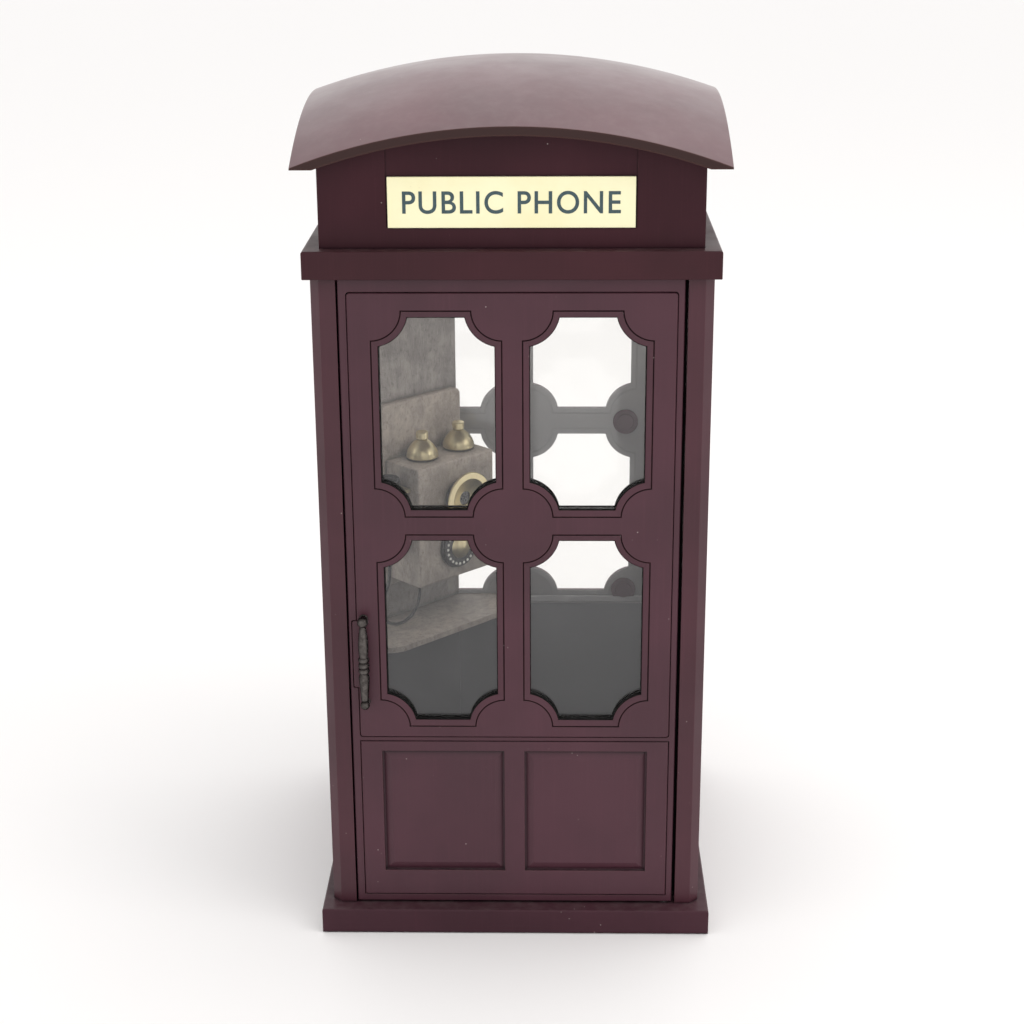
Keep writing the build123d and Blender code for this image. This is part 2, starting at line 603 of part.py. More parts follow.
with BuildPart() as door_frame:
    with BuildSketch(FRONT.offset(FRAME_BACK)):
        with Locations((door_mid_x, (DOOR_LOW + DOOR_HIGH) / 2)):
            Rectangle(DOOR_RIGHT - DOOR_LEFT, DOOR_HIGH - DOOR_LOW)
    extrude(amount=DOOR_T)
    fillet(door_frame.edges().filter_by(Axis.Z), DOOR_EDGE)
    extrude(lattice_outline(FRONT.offset(FRAME_FRONT), FACE_GAP), amount=FACE_BACK - FRAME_FRONT,
            mode=Mode.SUBTRACT)
    extrude(rectangle_at(FRONT.offset(FRAME_FRONT), (0, PANEL_MID), 2 * (LATTICE_HALF + FACE_GAP),
                         PANEL_HIGH - PANEL_LOW + 2 * FACE_GAP), amount=FACE_BACK - FRAME_FRONT,
            mode=Mode.SUBTRACT)
    extrude(rectangle_at(FRONT.offset(FACE_BACK), (0, LATTICE_MID), 2 * pane_side, pane_top - pane_bottom),
            amount=pane_back - FACE_BACK, mode=Mode.SUBTRACT)
    extrude(rectangle_at(FRONT.offset(FACE_BACK), (0, LATTICE_MID), 2 * WINDOW_HALF,
                         window_high - window_low), amount=-DOOR_T, mode=Mode.SUBTRACT)
    with BuildSketch(Plane.XY.offset(DOOR_LOW)):
        with Locations((PIN_X, PIN_Y)):
            Circle(PIN_R + PIN_CLEAR)
    extrude(amount=PIN_IN_DOOR + PIN_CLEAR, mode=Mode.SUBTRACT)
    with BuildSketch(Plane.XY.offset(DOOR_HIGH)):
        with Locations((PIN_X, PIN_Y)):
            Circle(PIN_R + PIN_CLEAR)
    extrude(amount=-PIN_IN_DOOR - PIN_CLEAR, mode=Mode.SUBTRACT)
    with BuildSketch(FRONT.offset(FRAME_BACK)):
        with Locations((strike_x, CATCH_Z)):
            Circle(CATCH_R)
    extrude(amount=CATCH_T / 2, mode=Mode.SUBTRACT)
finish_node("door_frame", door_frame.part)

with BuildPart() as door_lattice:
    extrude(lattice_outline(FRONT.offset(FACE_BACK), 0), amount=FACE_T)
    chamfer(door_lattice.faces().sort_by(Axis.Y)[0].edges(), FACE_EDGE)
    for cx, cy, width, height in light_places(LIGHT_OUT):
        extrude(light_outline(FRONT.offset(FACE_FRONT), cx, cy, width, height, 0), amount=-FACE_T,
                mode=Mode.SUBTRACT)
finish_node("door_lattice", door_lattice.part)
bead_set(FRONT, FACE_FRONT, FACE_T, LIGHT_OUT, "door_beads")

with BuildPart() as door_pane:
    extrude(rectangle_at(FRONT.offset(FACE_BACK), (0, LATTICE_MID), 2 * pane_side, pane_top - pane_bottom),
            amount=-PANE_T)
finish_node("door_pane", door_pane.part)

with BuildPart() as door_panel:
    extrude(rectangle_at(FRONT.offset(FACE_BACK), (0, PANEL_MID), 2 * LATTICE_HALF, PANEL_HIGH - PANEL_LOW),
            amount=FACE_T)
    chamfer(door_panel.faces().sort_by(Axis.Y)[0].edges(), FACE_EDGE)
    for recess, foot, top in field_sketches(FRONT, FACE_FRONT, LIGHT_OUT):
        extrude(recess, amount=-FIELD_DEEP, mode=Mode.SUBTRACT)
        loft([foot, top], ruled=True)
finish_node("door_panel", door_panel.part)

with BuildPart() as hinge_pins:
    with BuildSketch(Plane.XY.offset(BASE_TOP - PIN_DEEP)):
        with Locations((PIN_X, PIN_Y)):
            Circle(PIN_R)
    extrude(amount=PIN_DEEP + DOOR_GAP_BOTTOM + PIN_IN_DOOR - PIN_CLEAR)
    with BuildSketch(Plane.XY.offset(BASE_TOP)):
        with Locations((PIN_X, PIN_Y)):
            Circle(WASHER_R)
    extrude(amount=DOOR_GAP_BOTTOM - WASHER_PLAY)
    with BuildSketch(Plane.XY.offset(BODY_TOP + PIN_DEEP)):
        with Locations((PIN_X, PIN_Y)):
            Circle(PIN_R)
    extrude(amount=-(PIN_DEEP + DOOR_GAP_TOP + PIN_IN_DOOR - PIN_CLEAR))
finish_node("hinge_pins", hinge_pins.part)

stop_y = -(FRAME_BACK - STOP_CLEAR - STOP_T / 2)
with BuildPart() as door_stop:
    with BuildSketch(Plane.XY.offset(FLOOR_TOP)):
        with Locations((-OPEN_HALF + STOP_W / 2, stop_y)):
            Rectangle(STOP_W, STOP_T)
    extrude(amount=BODY_TOP - STOP_TOP_GAP - FLOOR_TOP)
    with BuildSketch(FRONT.offset(FRAME_BACK - STOP_CLEAR)):
        with Locations((strike_x, CATCH_Z)):
            Circle(CATCH_R)
    extrude(amount=-CATCH_T, mode=Mode.SUBTRACT)
finish_node("door_stop", door_stop.part)

with BuildPart() as catch_magnet:
    with BuildSketch(FRONT.offset(FRAME_BACK - STOP_CLEAR)):
        with Locations((strike_x, CATCH_Z)):
            Circle(CATCH_R)
    extrude(amount=-CATCH_T)
finish_node("catch_magnet", catch_magnet.part)

with BuildPart() as catch_plate:
    with BuildSketch(FRONT.offset(FRAME_BACK)):
        with Locations((strike_x, CATCH_Z)):
            Circle(CATCH_R)
    extrude(amount=CATCH_T / 2)
finish_node("catch_plate", catch_plate.part)

# ================================================================ door handle
HANDLE = Plane(origin=(HANDLE_X, HANDLE_Y, 0), x_dir=(1, 0, 0), z_dir=(0, -1, 0))
neck_rise_low = (BALL_LOW_R ** 2 - BALL_NECK ** 2) ** 0.5
neck_rise_top = (BALL_TOP_R ** 2 - BALL_NECK ** 2) ** 0.5
lower_start = BALL_LOW_Z + neck_rise_low
upper_end = BALL_TOP_Z - neck_rise_top
rings_low = RING_Z[0] - RING_HALF
rings_high = RING_Z[-1] + RING_HALF
with BuildPart() as door_handle:
    with BuildSketch(HANDLE):
        with BuildLine():
            ThreePointArc((0, BALL_LOW_Z - BALL_LOW_R), (BALL_LOW_R, BALL_LOW_Z), (BALL_NECK, lower_start))
            Line((BALL_NECK, lower_start), (LOWER_MIN_R, lower_start + 0.8))
            Spline((LOWER_MIN_R, lower_start + 0.8),
                   (LOWER_MAX_R - 0.25, (lower_start + rings_low) / 2 + 1.5),
                   (LOWER_MAX_R, rings_low - 1.6))
            Line((LOWER_MAX_R, rings_low - 1.6), (RING_ROOT, rings_low))
            for ring_z in RING_Z:
                ThreePointArc((RING_ROOT, ring_z - RING_HALF), (RING_R, ring_z),
                              (RING_ROOT, ring_z + RING_HALF))
            for ring_z, next_z in zip(RING_Z, RING_Z[1:]):
                Line((RING_ROOT, ring_z + RING_HALF), (RING_ROOT, next_z - RING_HALF))
            Spline((RING_ROOT, rings_high), (UPPER_MAX_R, rings_high + 4.5),
                   (UPPER_MAX_R - 0.2, rings_high + 9.0), (UPPER_MIN_R, upper_end - 0.8))
            Line((UPPER_MIN_R, upper_end - 0.8), (BALL_NECK, upper_end))
            ThreePointArc((BALL_NECK, upper_end), (BALL_TOP_R, BALL_TOP_Z), (0, BALL_TOP_Z + BALL_TOP_R))
            Line((0, BALL_TOP_Z + BALL_TOP_R), (0, BALL_LOW_Z - BALL_LOW_R))
        make_face()
    revolve(axis=Axis((HANDLE_X, HANDLE_Y, 0), (0, 0, 1)))
    with BuildSketch(FRONT.offset(FACE_FRONT + ROSETTE_T)):
        with Locations(*screw_at):
            Circle(STEM_R)
    extrude(amount=HANDLE_OUT - ROSETTE_T)
finish_node("door_handle", door_handle.part)

with BuildPart() as handle_rosettes:
    with BuildSketch(FRONT.offset(FACE_FRONT)):
        with Locations(*screw_at):
            Circle(ROSETTE_R)
    extrude(amount=ROSETTE_T)
    chamfer(handle_rosettes.edges().group_by(Axis.Y)[0], ROSETTE_T / 2)
finish_node("handle_rosettes", handle_rosettes.part)

with BuildPart() as handle_screws:
    with BuildSketch(FRONT.offset(FRAME_BACK)):
        with Locations(*screw_at):
            Circle(SCREW_R)
    extrude(amount=-SCREW_T)
    fillet(handle_screws.edges().group_by(Axis.Y)[-1], SCREW_T / 2)
finish_node("handle_screws", handle_screws.part)

# ================================================================ diagonal board, backboard, shelf
board_slant = BOARD_T * 2 ** 0.5
with BuildPart() as phone_board:
    with BuildSketch(Plane.XY.offset(FLOOR_TOP)):
        with BuildLine():
            Polyline((BOARD_X, WALL_Y), (-WALL_X, BOARD_Y), (-WALL_X, BOARD_Y + board_slant),
                     (BOARD_X - board_slant, WALL_Y), close=True)
        make_face()
    extrude(amount=BODY_TOP - FLOOR_TOP)
finish_node("phone_board", phone_board.part)

with BuildPart() as backboard:
    with BuildSketch(PHONE):
        with Locations(((BACK_LEFT + BACK_RIGHT) / 2, (BACK_LOW + BACK_HIGH) / 2)):
            RectangleRounded(BACK_RIGHT - BACK_LEFT, BACK_HIGH - BACK_LOW, BACK_CORNER)
    extrude(amount=BACK_T)
    fillet(backboard.faces().sort_by(Axis((0, 0, 0), (1, -1, 0)))[-1].edges(), BOX_EDGE)
finish_node("backboard", backboard.part)

shelf_x = -WALL_X + SHELF_REACH
shelf_y = WALL_Y - SHELF_REACH
with BuildPart() as shelf:
    with BuildSketch(Plane.XY.offset(SHELF_TOP - SHELF_T)):
        with BuildLine():
            Polyline((BOARD_X, WALL_Y), (-WALL_X, BOARD_Y), (-WALL_X, shelf_y),
                     (-WALL_X + SHELF_END, shelf_y), (shelf_x, WALL_Y - SHELF_END),
                     (shelf_x, WALL_Y), close=True)
        make_face()
    extrude(amount=SHELF_T)
    bends = shelf.edges().filter_by(Axis.Z).sort_by(Axis((0, 0, 0), (1, -1, 0)))
    fillet(bends[-2:], SHELF_ROUND)
finish_node("shelf", shelf.part)

# ================================================================ telephone
with BuildPart() as phone_box:
    with BuildSketch(PHONE.offset(BOX_BACK)):
        with Locations((PHONE_S, (BOX_LOW + BOX_HIGH) / 2)):
            Rectangle(BOX_W, BOX_HIGH - BOX_LOW)
    extrude(amount=BOX_D)
    front_face = phone_box.faces().sort_by(Axis((0, 0, 0), (1, -1, 0)))[-1]
    fillet(front_face.edges() + phone_box.edges().group_by(Axis.Z)[-1].filter_by(
        lambda e: e not in front_face.edges()), BOX_EDGE)
finish_node("phone_box", phone_box.part)

bell_s = (PHONE_S + BELL_SHIFT - BELL_APART, PHONE_S + BELL_SHIFT + BELL_APART)
for bell_name, at in (("bell_left", bell_s[0]), ("bell_right", bell_s[1])):
    foot = phone_point(at, BELL_OUT, BOX_HIGH + BELL_LIFT)
    bell_plane = Plane(origin=foot, x_dir=(1, 0, 0), z_dir=(0, -1, 0))
    with BuildPart() as bell:
        with BuildSketch(bell_plane):
            with BuildLine():
                Line((STUD_R, 0), (BELL_R - 0.5, 0))
                Line((BELL_R - 0.5, 0), (BELL_R, 0.5))
                Spline((BELL_R, 0.5), (BELL_R * 0.95, BELL_H * 0.33), (BELL_R * 0.72, BELL_H * 0.66),
                       (BELL_TOP_R, BELL_H))
                Line((BELL_TOP_R, BELL_H), (STUD_R, BELL_H))
                Line((STUD_R, BELL_H), (STUD_R, 0))
            make_face()
        revolve(axis=Axis(foot, (0, 0, 1)))
    finish_node(bell_name, bell.part)

with BuildPart() as bell_studs:
    for at in bell_s:
        foot = phone_point(at, BELL_OUT, BOX_HIGH)
        with BuildSketch(Plane(origin=foot)):
            Circle(STUD_R)
        extrude(amount=BELL_LIFT + BELL_H)
        with BuildSketch(Plane(origin=foot)):
            Circle(STUD_R * 2)
        extrude(amount=BELL_LIFT)
finish_node("bell_studs", bell_studs.part)

with BuildPart() as bell_nuts:
    for at in bell_s:
        with BuildSketch(Plane(origin=phone_point(at, BELL_OUT, BOX_HIGH + BELL_LIFT + BELL_H))):
            Circle(NUT_R)
        extrude(amount=NUT_H)
    chamfer(bell_nuts.edges().filter_by(GeomType.CIRCLE), 0.35)
finish_node("bell_nuts", bell_nuts.part)

MOUTH = PHONE.offset(BOX_FRONT)
mouth_centre = phone_point(PHONE_S, BOX_FRONT, MOUTH_Z)
PHONE_OUT = (1, -1, 0)
MOUTH_SIDE = Plane(origin=mouth_centre, x_dir=(0, 0, 1), z_dir=(1, 1, 0))      # x up, y out of the box
with BuildPart() as mouth_neck:
    with BuildSketch(MOUTH):
        with Locations((PHONE_S, MOUTH_Z)):
            Circle(MOUTH_BACK_R)
    extrude(amount=NECK_H)
finish_node("mouth_neck", mouth_neck.part)

dish_floor = MOUTH_OUT - MOUTH_DEEP
grille_back = dish_floor - GRILLE_IN
with BuildPart() as mouth_horn:
    with BuildSketch(MOUTH_SIDE):
        with BuildLine():
            Polyline((0, NECK_H), (MOUTH_BACK_R, NECK_H))
            Spline((MOUTH_BACK_R, NECK_H), (MOUTH_BACK_R + 2.4, NECK_H + MOUTH_OUT * 0.42),
                   (MOUTH_R, MOUTH_OUT - 0.9))
            Polyline((MOUTH_R, MOUTH_OUT - 0.9), (MOUTH_R, MOUTH_OUT - 0.3), (MOUTH_R - 0.3, MOUTH_OUT),
                     (MOUTH_R - MOUTH_LIP, MOUTH_OUT))
            Spline((MOUTH_R - MOUTH_LIP, MOUTH_OUT), (MOUTH_THROAT + 3.0, dish_floor + MOUTH_DEEP * 0.35),
                   (MOUTH_THROAT, dish_floor))
            Polyline((MOUTH_THROAT, dish_floor), (MOUTH_THROAT, grille_back), (0, grille_back), (0, NECK_H))
        make_face()
    revolve(axis=Axis(mouth_centre, PHONE_OUT))
finish_node("mouth_horn", mouth_horn.part)

with BuildPart() as mouth_grille:
    with BuildSketch(PHONE.offset(BOX_FRONT + grille_back)):
        with Locations((PHONE_S, MOUTH_Z)):
            Circle(MOUTH_THROAT - GRILLE_PLAY)
            with PolarLocations(MOUTH_THROAT * 0.55, 6):
                Circle(GRILLE_HOLE_R, mode=Mode.SUBTRACT)
            Circle(GRILLE_HOLE_R, mode=Mode.SUBTRACT)
    extrude(amount=GRILLE_T)
finish_node("mouth_grille", mouth_grille.part)

DIAL_AT = (PHONE_S, DIAL_Z)
with BuildPart() as dial_plate:
    with BuildSketch(PHONE.offset(BOX_FRONT)):
        with Locations(DIAL_AT):
            Circle(DIAL_R)
    extrude(amount=DIAL_T)
    fillet(dial_plate.edges().filter_by(GeomType.CIRCLE).sort_by(Axis((0, 0, 0), PHONE_OUT))[-1], 0.5)
    with BuildSketch(PHONE.offset(BOX_FRONT + DIAL_T)):
        with Locations(DIAL_AT):
            Circle(SPINDLE_R)
    extrude(amount=WHEEL_GAP + WHEEL_T - SPINDLE_SHORT)
finish_node("dial_plate", dial_plate.part)

wheel_back = BOX_FRONT + DIAL_T + WHEEL_GAP
wheel_front = wheel_back + WHEEL_T
with BuildPart() as dial_wheel:
    with BuildSketch(PHONE.offset(wheel_back)):
        with Locations(DIAL_AT):
            Circle(WHEEL_R)
            Circle(SPINDLE_R + SPINDLE_CLEAR, mode=Mode.SUBTRACT)
    extrude(amount=WHEEL_T)
    rim = dial_wheel.edges().filter_by(GeomType.CIRCLE).sort_by(Axis((0, 0, 0), PHONE_OUT))
    chamfer([e for e in rim if e.radius > WHEEL_R - 0.1][-1], 0.35)
finish_node("dial_wheel", dial_wheel.part)

with BuildPart() as dial_pips:
    with BuildSketch(PHONE.offset(wheel_front)):
        with Locations(DIAL_AT):
            with PolarLocations(PIP_RING, PIP_COUNT):
                Circle(PIP_R)
    extrude(amount=0.5)
    tops = dial_pips.edges().filter_by(GeomType.CIRCLE).group_by(Axis((0, 0, 0), PHONE_OUT))[-1]
    fillet(tops, 0.35)
finish_node("dial_pips", dial_pips.part)

cap_centre = phone_point(PHONE_S, wheel_front, DIAL_Z)
cap_radius = (CAP_R ** 2 + CAP_H ** 2) / (2 * CAP_H)
slant = CAP_R / 2
cap_rise = CAP_H - fall(cap_radius, slant)
with BuildPart() as dial_cap:
    with BuildSketch(Plane(origin=cap_centre, x_dir=(0, 0, 1), z_dir=(1, 1, 0))):
        with BuildLine():
            Polyline((0, CAP_H), (0, 0), (CAP_R, 0))
            ThreePointArc((CAP_R, 0), (slant, cap_rise), (0, CAP_H))
        make_face()
    revolve(axis=Axis(cap_centre, PHONE_OUT))
finish_node("dial_cap", dial_cap.part)

# ================================================================ receiver, its hook and its cord
recv_foot = phone_point(RECV_S, RECV_OUT, 0)
recv_plane = Plane(origin=recv_foot, x_dir=(1, 0, 0), z_dir=(0, -1, 0))
cap_foot = RECV_HIGH - RECV_CAP_H
with BuildPart() as receiver_body:
    with BuildSketch(recv_plane):
        with BuildLine():
            Line((0, RECV_LOW), (RECV_TAIL_R - 0.4, RECV_LOW))
            Line((RECV_TAIL_R - 0.4, RECV_LOW), (RECV_TAIL_R, RECV_LOW + 0.4))
            Line((RECV_TAIL_R, RECV_LOW + 0.4), (RECV_TAIL_R, RECV_LOW + 3.0))
            Spline((RECV_TAIL_R, RECV_LOW + 3.0), (RECV_BELLY_R - 0.4, RECV_LOW + 7.0),
                   (RECV_BELLY_R, RECV_LOW + 12.0), (RECV_NECK_R + 0.4, RECV_LOW + 20.0),
                   (RECV_NECK_R, RECV_LOW + 24.0))
            Line((RECV_NECK_R, RECV_LOW + 24.0), (RECV_NECK_R, cap_foot))
            Line((RECV_NECK_R, cap_foot), (0, cap_foot))
            Line((0, cap_foot), (0, RECV_LOW))
        make_face()
    revolve(axis=Axis(recv_foot, (0, 0, 1)))
finish_node("receiver_body", receiver_body.part)

with BuildPart() as receiver_cap:
    with BuildSketch(recv_plane):
        with BuildLine():
            Line((0, cap_foot), (RECV_NECK_R + 0.8, cap_foot))
            ThreePointArc((RECV_NECK_R + 0.8, cap_foot), (RECV_CAP_R - 0.9, cap_foot + 1.4),
                          (RECV_CAP_R, cap_foot + 3.2))
            Line((RECV_CAP_R, cap_foot + 3.2), (RECV_CAP_R, RECV_HIGH - 0.7))
            Line((RECV_CAP_R, RECV_HIGH - 0.7), (RECV_CAP_R - 0.7, RECV_HIGH))
            Line((RECV_CAP_R - 0.7, RECV_HIGH), (EAR_HOLE_R + 1.6, RECV_HIGH - 1.3))
            Line((EAR_HOLE_R + 1.6, RECV_HIGH - 1.3), (EAR_HOLE_R, RECV_HIGH - 1.3))
            Line((EAR_HOLE_R, RECV_HIGH - 1.3), (EAR_HOLE_R, RECV_HIGH - 2.8))
            Line((EAR_HOLE_R, RECV_HIGH - 2.8), (0, RECV_HIGH - 2.8))
            Line((0, RECV_HIGH - 2.8), (0, cap_foot))
        make_face()
    revolve(axis=Axis(recv_foot, (0, 0, 1)))
finish_node("receiver_cap", receiver_cap.part)

fork_top = cap_foot - 0.3
fork_half = RECV_NECK_R + FORK_CLEAR
fork_end = RECV_S - RECV_NECK_R
with BuildPart() as receiver_hook:
    with BuildSketch(Plane(origin=phone_point(0, 0, fork_top - FORK_T), x_dir=(1, 1, 0), z_dir=(0, 0, 1))):
        hook_length = BOX_LEFT - fork_end
        with Locations((BOX_LEFT - hook_length / 2, -RECV_OUT)):
            Rectangle(hook_length, 2 * (fork_half + FORK_ARM))
        with Locations((RECV_S, -RECV_OUT)):
            Circle(fork_half, mode=Mode.SUBTRACT)
        with Locations((RECV_S - fork_half, -RECV_OUT)):
            Rectangle(2 * fork_half, 2 * fork_half, mode=Mode.SUBTRACT)
    extrude(amount=FORK_T)
    tips = receiver_hook.edges().filter_by(Axis.Z).sort_by(Axis((0, 0, 0), (1, 1, 0)))
    fillet(tips[:4], FORK_ARM * 0.4)
finish_node("receiver_hook", receiver_hook.part)

with BuildPart() as cord_gland:
    with BuildSketch(Plane(origin=phone_point(GLAND_S, GLAND_OUT, BOX_LOW))):
        Circle(GLAND_R)
    extrude(amount=-GLAND_H)
    chamfer(cord_gland.edges().group_by(Axis.Z)[0], 0.4)
finish_node("cord_gland", cord_gland.part)

cord_path_points = [phone_point(*p) for p in CORD_POINTS]
cord_radii = []
for before, here, after in zip(cord_path_points, cord_path_points[1:], cord_path_points[2:]):
    run_in = here - before
    run_out = after - here
    turn_cos = run_in.dot(run_out) / (run_in.length * run_out.length)
    half_tan = ((1 - turn_cos) / (1 + turn_cos)) ** 0.5
    cord_radii.append(0.45 * min(run_in.length, run_out.length) / half_tan)
print("cord radii", [round(r, 1) for r in cord_radii])
with BuildPart() as receiver_cord:
    with BuildLine():
        cord_path = FilletPolyline(*cord_path_points, radius=cord_radii)
    with BuildSketch(Plane(origin=cord_path @ 0, z_dir=cord_path % 0)):
        Circle(CORD_R)
    sweep()
finish_node("receiver_cord", receiver_cord.part)
print("cord length", round(cord_path.length, 2),
      "volume ratio", round(receiver_cord.part.volume / (cord_path.length * 3.14159 * CORD_R ** 2), 4))
print("nodes", len(made))
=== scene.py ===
"""Looks for the model telephone booth: materials, printed sign, cord, studio floor, light and camera."""
import json
import math

import bmesh
import bpy
from mathutils import Matrix, Vector


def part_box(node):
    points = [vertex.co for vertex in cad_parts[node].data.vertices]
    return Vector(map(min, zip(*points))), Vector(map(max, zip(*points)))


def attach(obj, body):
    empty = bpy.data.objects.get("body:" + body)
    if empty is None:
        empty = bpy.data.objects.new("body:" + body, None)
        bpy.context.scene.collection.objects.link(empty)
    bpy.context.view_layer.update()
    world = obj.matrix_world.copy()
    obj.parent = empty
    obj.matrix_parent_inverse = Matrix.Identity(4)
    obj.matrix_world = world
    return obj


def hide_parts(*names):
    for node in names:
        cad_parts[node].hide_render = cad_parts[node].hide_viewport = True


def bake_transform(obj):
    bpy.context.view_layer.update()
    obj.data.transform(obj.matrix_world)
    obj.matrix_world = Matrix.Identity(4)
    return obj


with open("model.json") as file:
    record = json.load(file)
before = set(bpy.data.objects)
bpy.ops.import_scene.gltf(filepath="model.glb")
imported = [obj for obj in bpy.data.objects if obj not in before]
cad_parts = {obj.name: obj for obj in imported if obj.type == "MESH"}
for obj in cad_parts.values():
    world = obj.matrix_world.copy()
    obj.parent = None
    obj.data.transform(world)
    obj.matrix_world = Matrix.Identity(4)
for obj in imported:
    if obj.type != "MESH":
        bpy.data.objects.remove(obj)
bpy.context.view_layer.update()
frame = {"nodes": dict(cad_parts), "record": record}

NODES = frame["nodes"]
MM = 0.001


def shade(tone, factor, lift=0.0):
    """A colour made lighter or darker by a factor, plus a small lift."""
    return tuple(min(1.0, c * factor + lift) for c in tone)


# ---------------------------------------------------------------- small helpers for node materials
class Shader:
    """A material under construction: makes nodes and joins them with short calls."""

    def __init__(self, name):
        self.mat = bpy.data.materials.new(name)
        self.mat.use_nodes = True
        self.tree = self.mat.node_tree
        self.bsdf = self.tree.nodes["Principled BSDF"]
        self.out = self.tree.nodes["Material Output"]
        place = self.tree.nodes.new("ShaderNodeTexCoord")
        self.coord = place.outputs["Object"]
        self.own_normal = place.outputs["Normal"]

    def node(self, kind, **values):
        made = self.tree.nodes.new(kind)
        for key, value in values.items():
            setattr(made, key, value)
        return made

    def link(self, source, target):
        self.tree.links.new(source, target)

    def feed(self, socket, value):
        """Link a socket to another one, or set its own value."""
        if isinstance(value, bpy.types.NodeSocket):
            self.link(value, socket)
        else:
            socket.default_value = value

    def mapped(self, scale=(1, 1, 1), turn=(0, 0, 0)):
        """The piece's own coordinates, scaled and turned."""
        mapping = self.node("ShaderNodeMapping")
        mapping.inputs["Scale"].default_value = scale
        mapping.inputs["Rotation"].default_value = turn
        self.link(self.coord, mapping.inputs["Vector"])
        return mapping.outputs["Vector"]

    def noise(self, scale, detail=3.0, rough=0.5, vector=None, distortion=0.0):
        made = self.node("ShaderNodeTexNoise")
        made.inputs["Scale"].default_value = scale
        made.inputs["Detail"].default_value = detail
        made.inputs["Roughness"].default_value = rough
        made.inputs["Distortion"].default_value = distortion
        self.link(vector or self.coord, made.inputs["Vector"])
        return made.outputs["Fac"]

    def cells(self, scale):
        """Distance to the nearest of many scattered points."""
        made = self.node("ShaderNodeTexVoronoi")
        made.inputs["Scale"].default_value = scale
        self.link(self.coord, made.inputs["Vector"])
        return made.outputs["Distance"]

    def dots(self, scale, low, high, patches, patch_low, patch_high):
        """Small dots of 1, kept only inside the bright patches of a coarser noise."""
        spots = self.ramp(self.cells(scale), low, high, 1.0, 0.0)
        return self.math("MULTIPLY", spots, self.ramp(patches, patch_low, patch_high))

    def ramp(self, value, low, high, to_low=0.0, to_high=1.0):
        """A smooth step from to_low at low to to_high at high."""
        made = self.node("ShaderNodeMapRange", interpolation_type="SMOOTHSTEP")
        made.inputs["From Min"].default_value = low
        made.inputs["From Max"].default_value = high
        made.inputs["To Min"].default_value = to_low
        made.inputs["To Max"].default_value = to_high
        self.link(value, made.inputs["Value"])
        return made.outputs["Result"]

    def math(self, operation, a, b=0.0, clamp=False):
        made = self.node("ShaderNodeMath", operation=operation, use_clamp=clamp)
        self.feed(made.inputs[0], a)
        self.feed(made.inputs[1], b)
        return made.outputs["Value"]

    def mix(self, factor, a, b):
        """Colour a where factor is 0 and colour b where it is 1."""
        made = self.node("ShaderNodeMix", data_type="RGBA", clamp_factor=True)
        self.feed(made.inputs["Factor"], factor)
        self.feed(made.inputs["A"], a if isinstance(a, bpy.types.NodeSocket) else (*a, 1.0))
        self.feed(made.inputs["B"], b if isinstance(b, bpy.types.NodeSocket) else (*b, 1.0))
        return made.outputs["Result"]

    def bump(self, height, distance, strength=1.0, normal=None):
        made = self.node("ShaderNodeBump")
        made.inputs["Strength"].default_value = strength
        made.inputs["Distance"].default_value = distance
        self.link(height, made.inputs["Height"])
        if normal is not None:
            self.link(normal, made.inputs["Normal"])
        return made.outputs["Normal"]

    def edge_mask(self, radius, low=0.02, high=0.25):
        """1 on convex and concave edges within radius, 0 on flat faces; and the rounded normal."""
        bevel = self.node("ShaderNodeBevel", samples=4)
        bevel.inputs["Radius"].default_value = radius
        geometry = self.node("ShaderNodeNewGeometry")
        dot = self.node("ShaderNodeVectorMath", operation="DOT_PRODUCT")
        self.link(bevel.outputs["Normal"], dot.inputs[0])
        self.link(geometry.outputs["Normal"], dot.inputs[1])
        away = self.math("SUBTRACT", 1.0, dot.outputs["Value"])
        return self.ramp(away, low, high), bevel.outputs["Normal"]

    def crevice(self, distance, low=0.35, high=0.9):
        """1 deep in a gap narrower than distance, 0 in the open; the mask for painted shade in gaps."""
        openness = self.node("ShaderNodeAmbientOcclusion", samples=6)
        openness.inputs["Distance"].default_value = distance
        return self.ramp(openness.outputs["AO"], low, high, 1.0, 0.0)

    def facing_up(self, low=0.75, high=0.98):
        """0 on steep faces, 1 on those that look straight up."""
        geometry = self.node("ShaderNodeNewGeometry")
        split = self.node("ShaderNodeSeparateXYZ")
        self.link(geometry.outputs["Normal"], split.inputs[0])
        return self.ramp(split.outputs["Z"], low, high)

    def height(self, low, high):
        """0 below low, 1 above high, in metres over the ground."""
        split = self.node("ShaderNodeSeparateXYZ")
        self.link(self.coord, split.inputs[0])
        return self.ramp(split.outputs["Z"], low, high)

    def steepness(self):
        """Absolute vertical part of the true normal: 0 on an upright face, 1 on a level one."""
        geometry = self.node("ShaderNodeNewGeometry")
        split = self.node("ShaderNodeSeparateXYZ")
        self.link(geometry.outputs["True Normal"], split.inputs[0])
        return self.math("ABSOLUTE", split.outputs["Z"])

    def facing_front(self, low, high):
        """0 to 1 as a face turns towards the door's front, in the piece's own axes."""
        split = self.node("ShaderNodeSeparateXYZ")
        self.link(self.own_normal, split.inputs[0])
        return self.ramp(split.outputs["Y"], -high, -low, 1.0, 0.0)

    def facing_in(self):
        """1 on faces that look towards the booth's upright centre line."""
        geometry = self.node("ShaderNodeNewGeometry")
        level = self.node("ShaderNodeVectorMath", operation="MULTIPLY")
        self.link(self.coord, level.inputs[0])
        level.inputs[1].default_value = (1, 1, 0)
        dot = self.node("ShaderNodeVectorMath", operation="DOT_PRODUCT")
        self.link(geometry.outputs["True Normal"], dot.inputs[0])
        self.link(level.outputs["Vector"], dot.inputs[1])
        return self.ramp(dot.outputs["Value"], -0.06, -0.05, 1.0, 0.0)

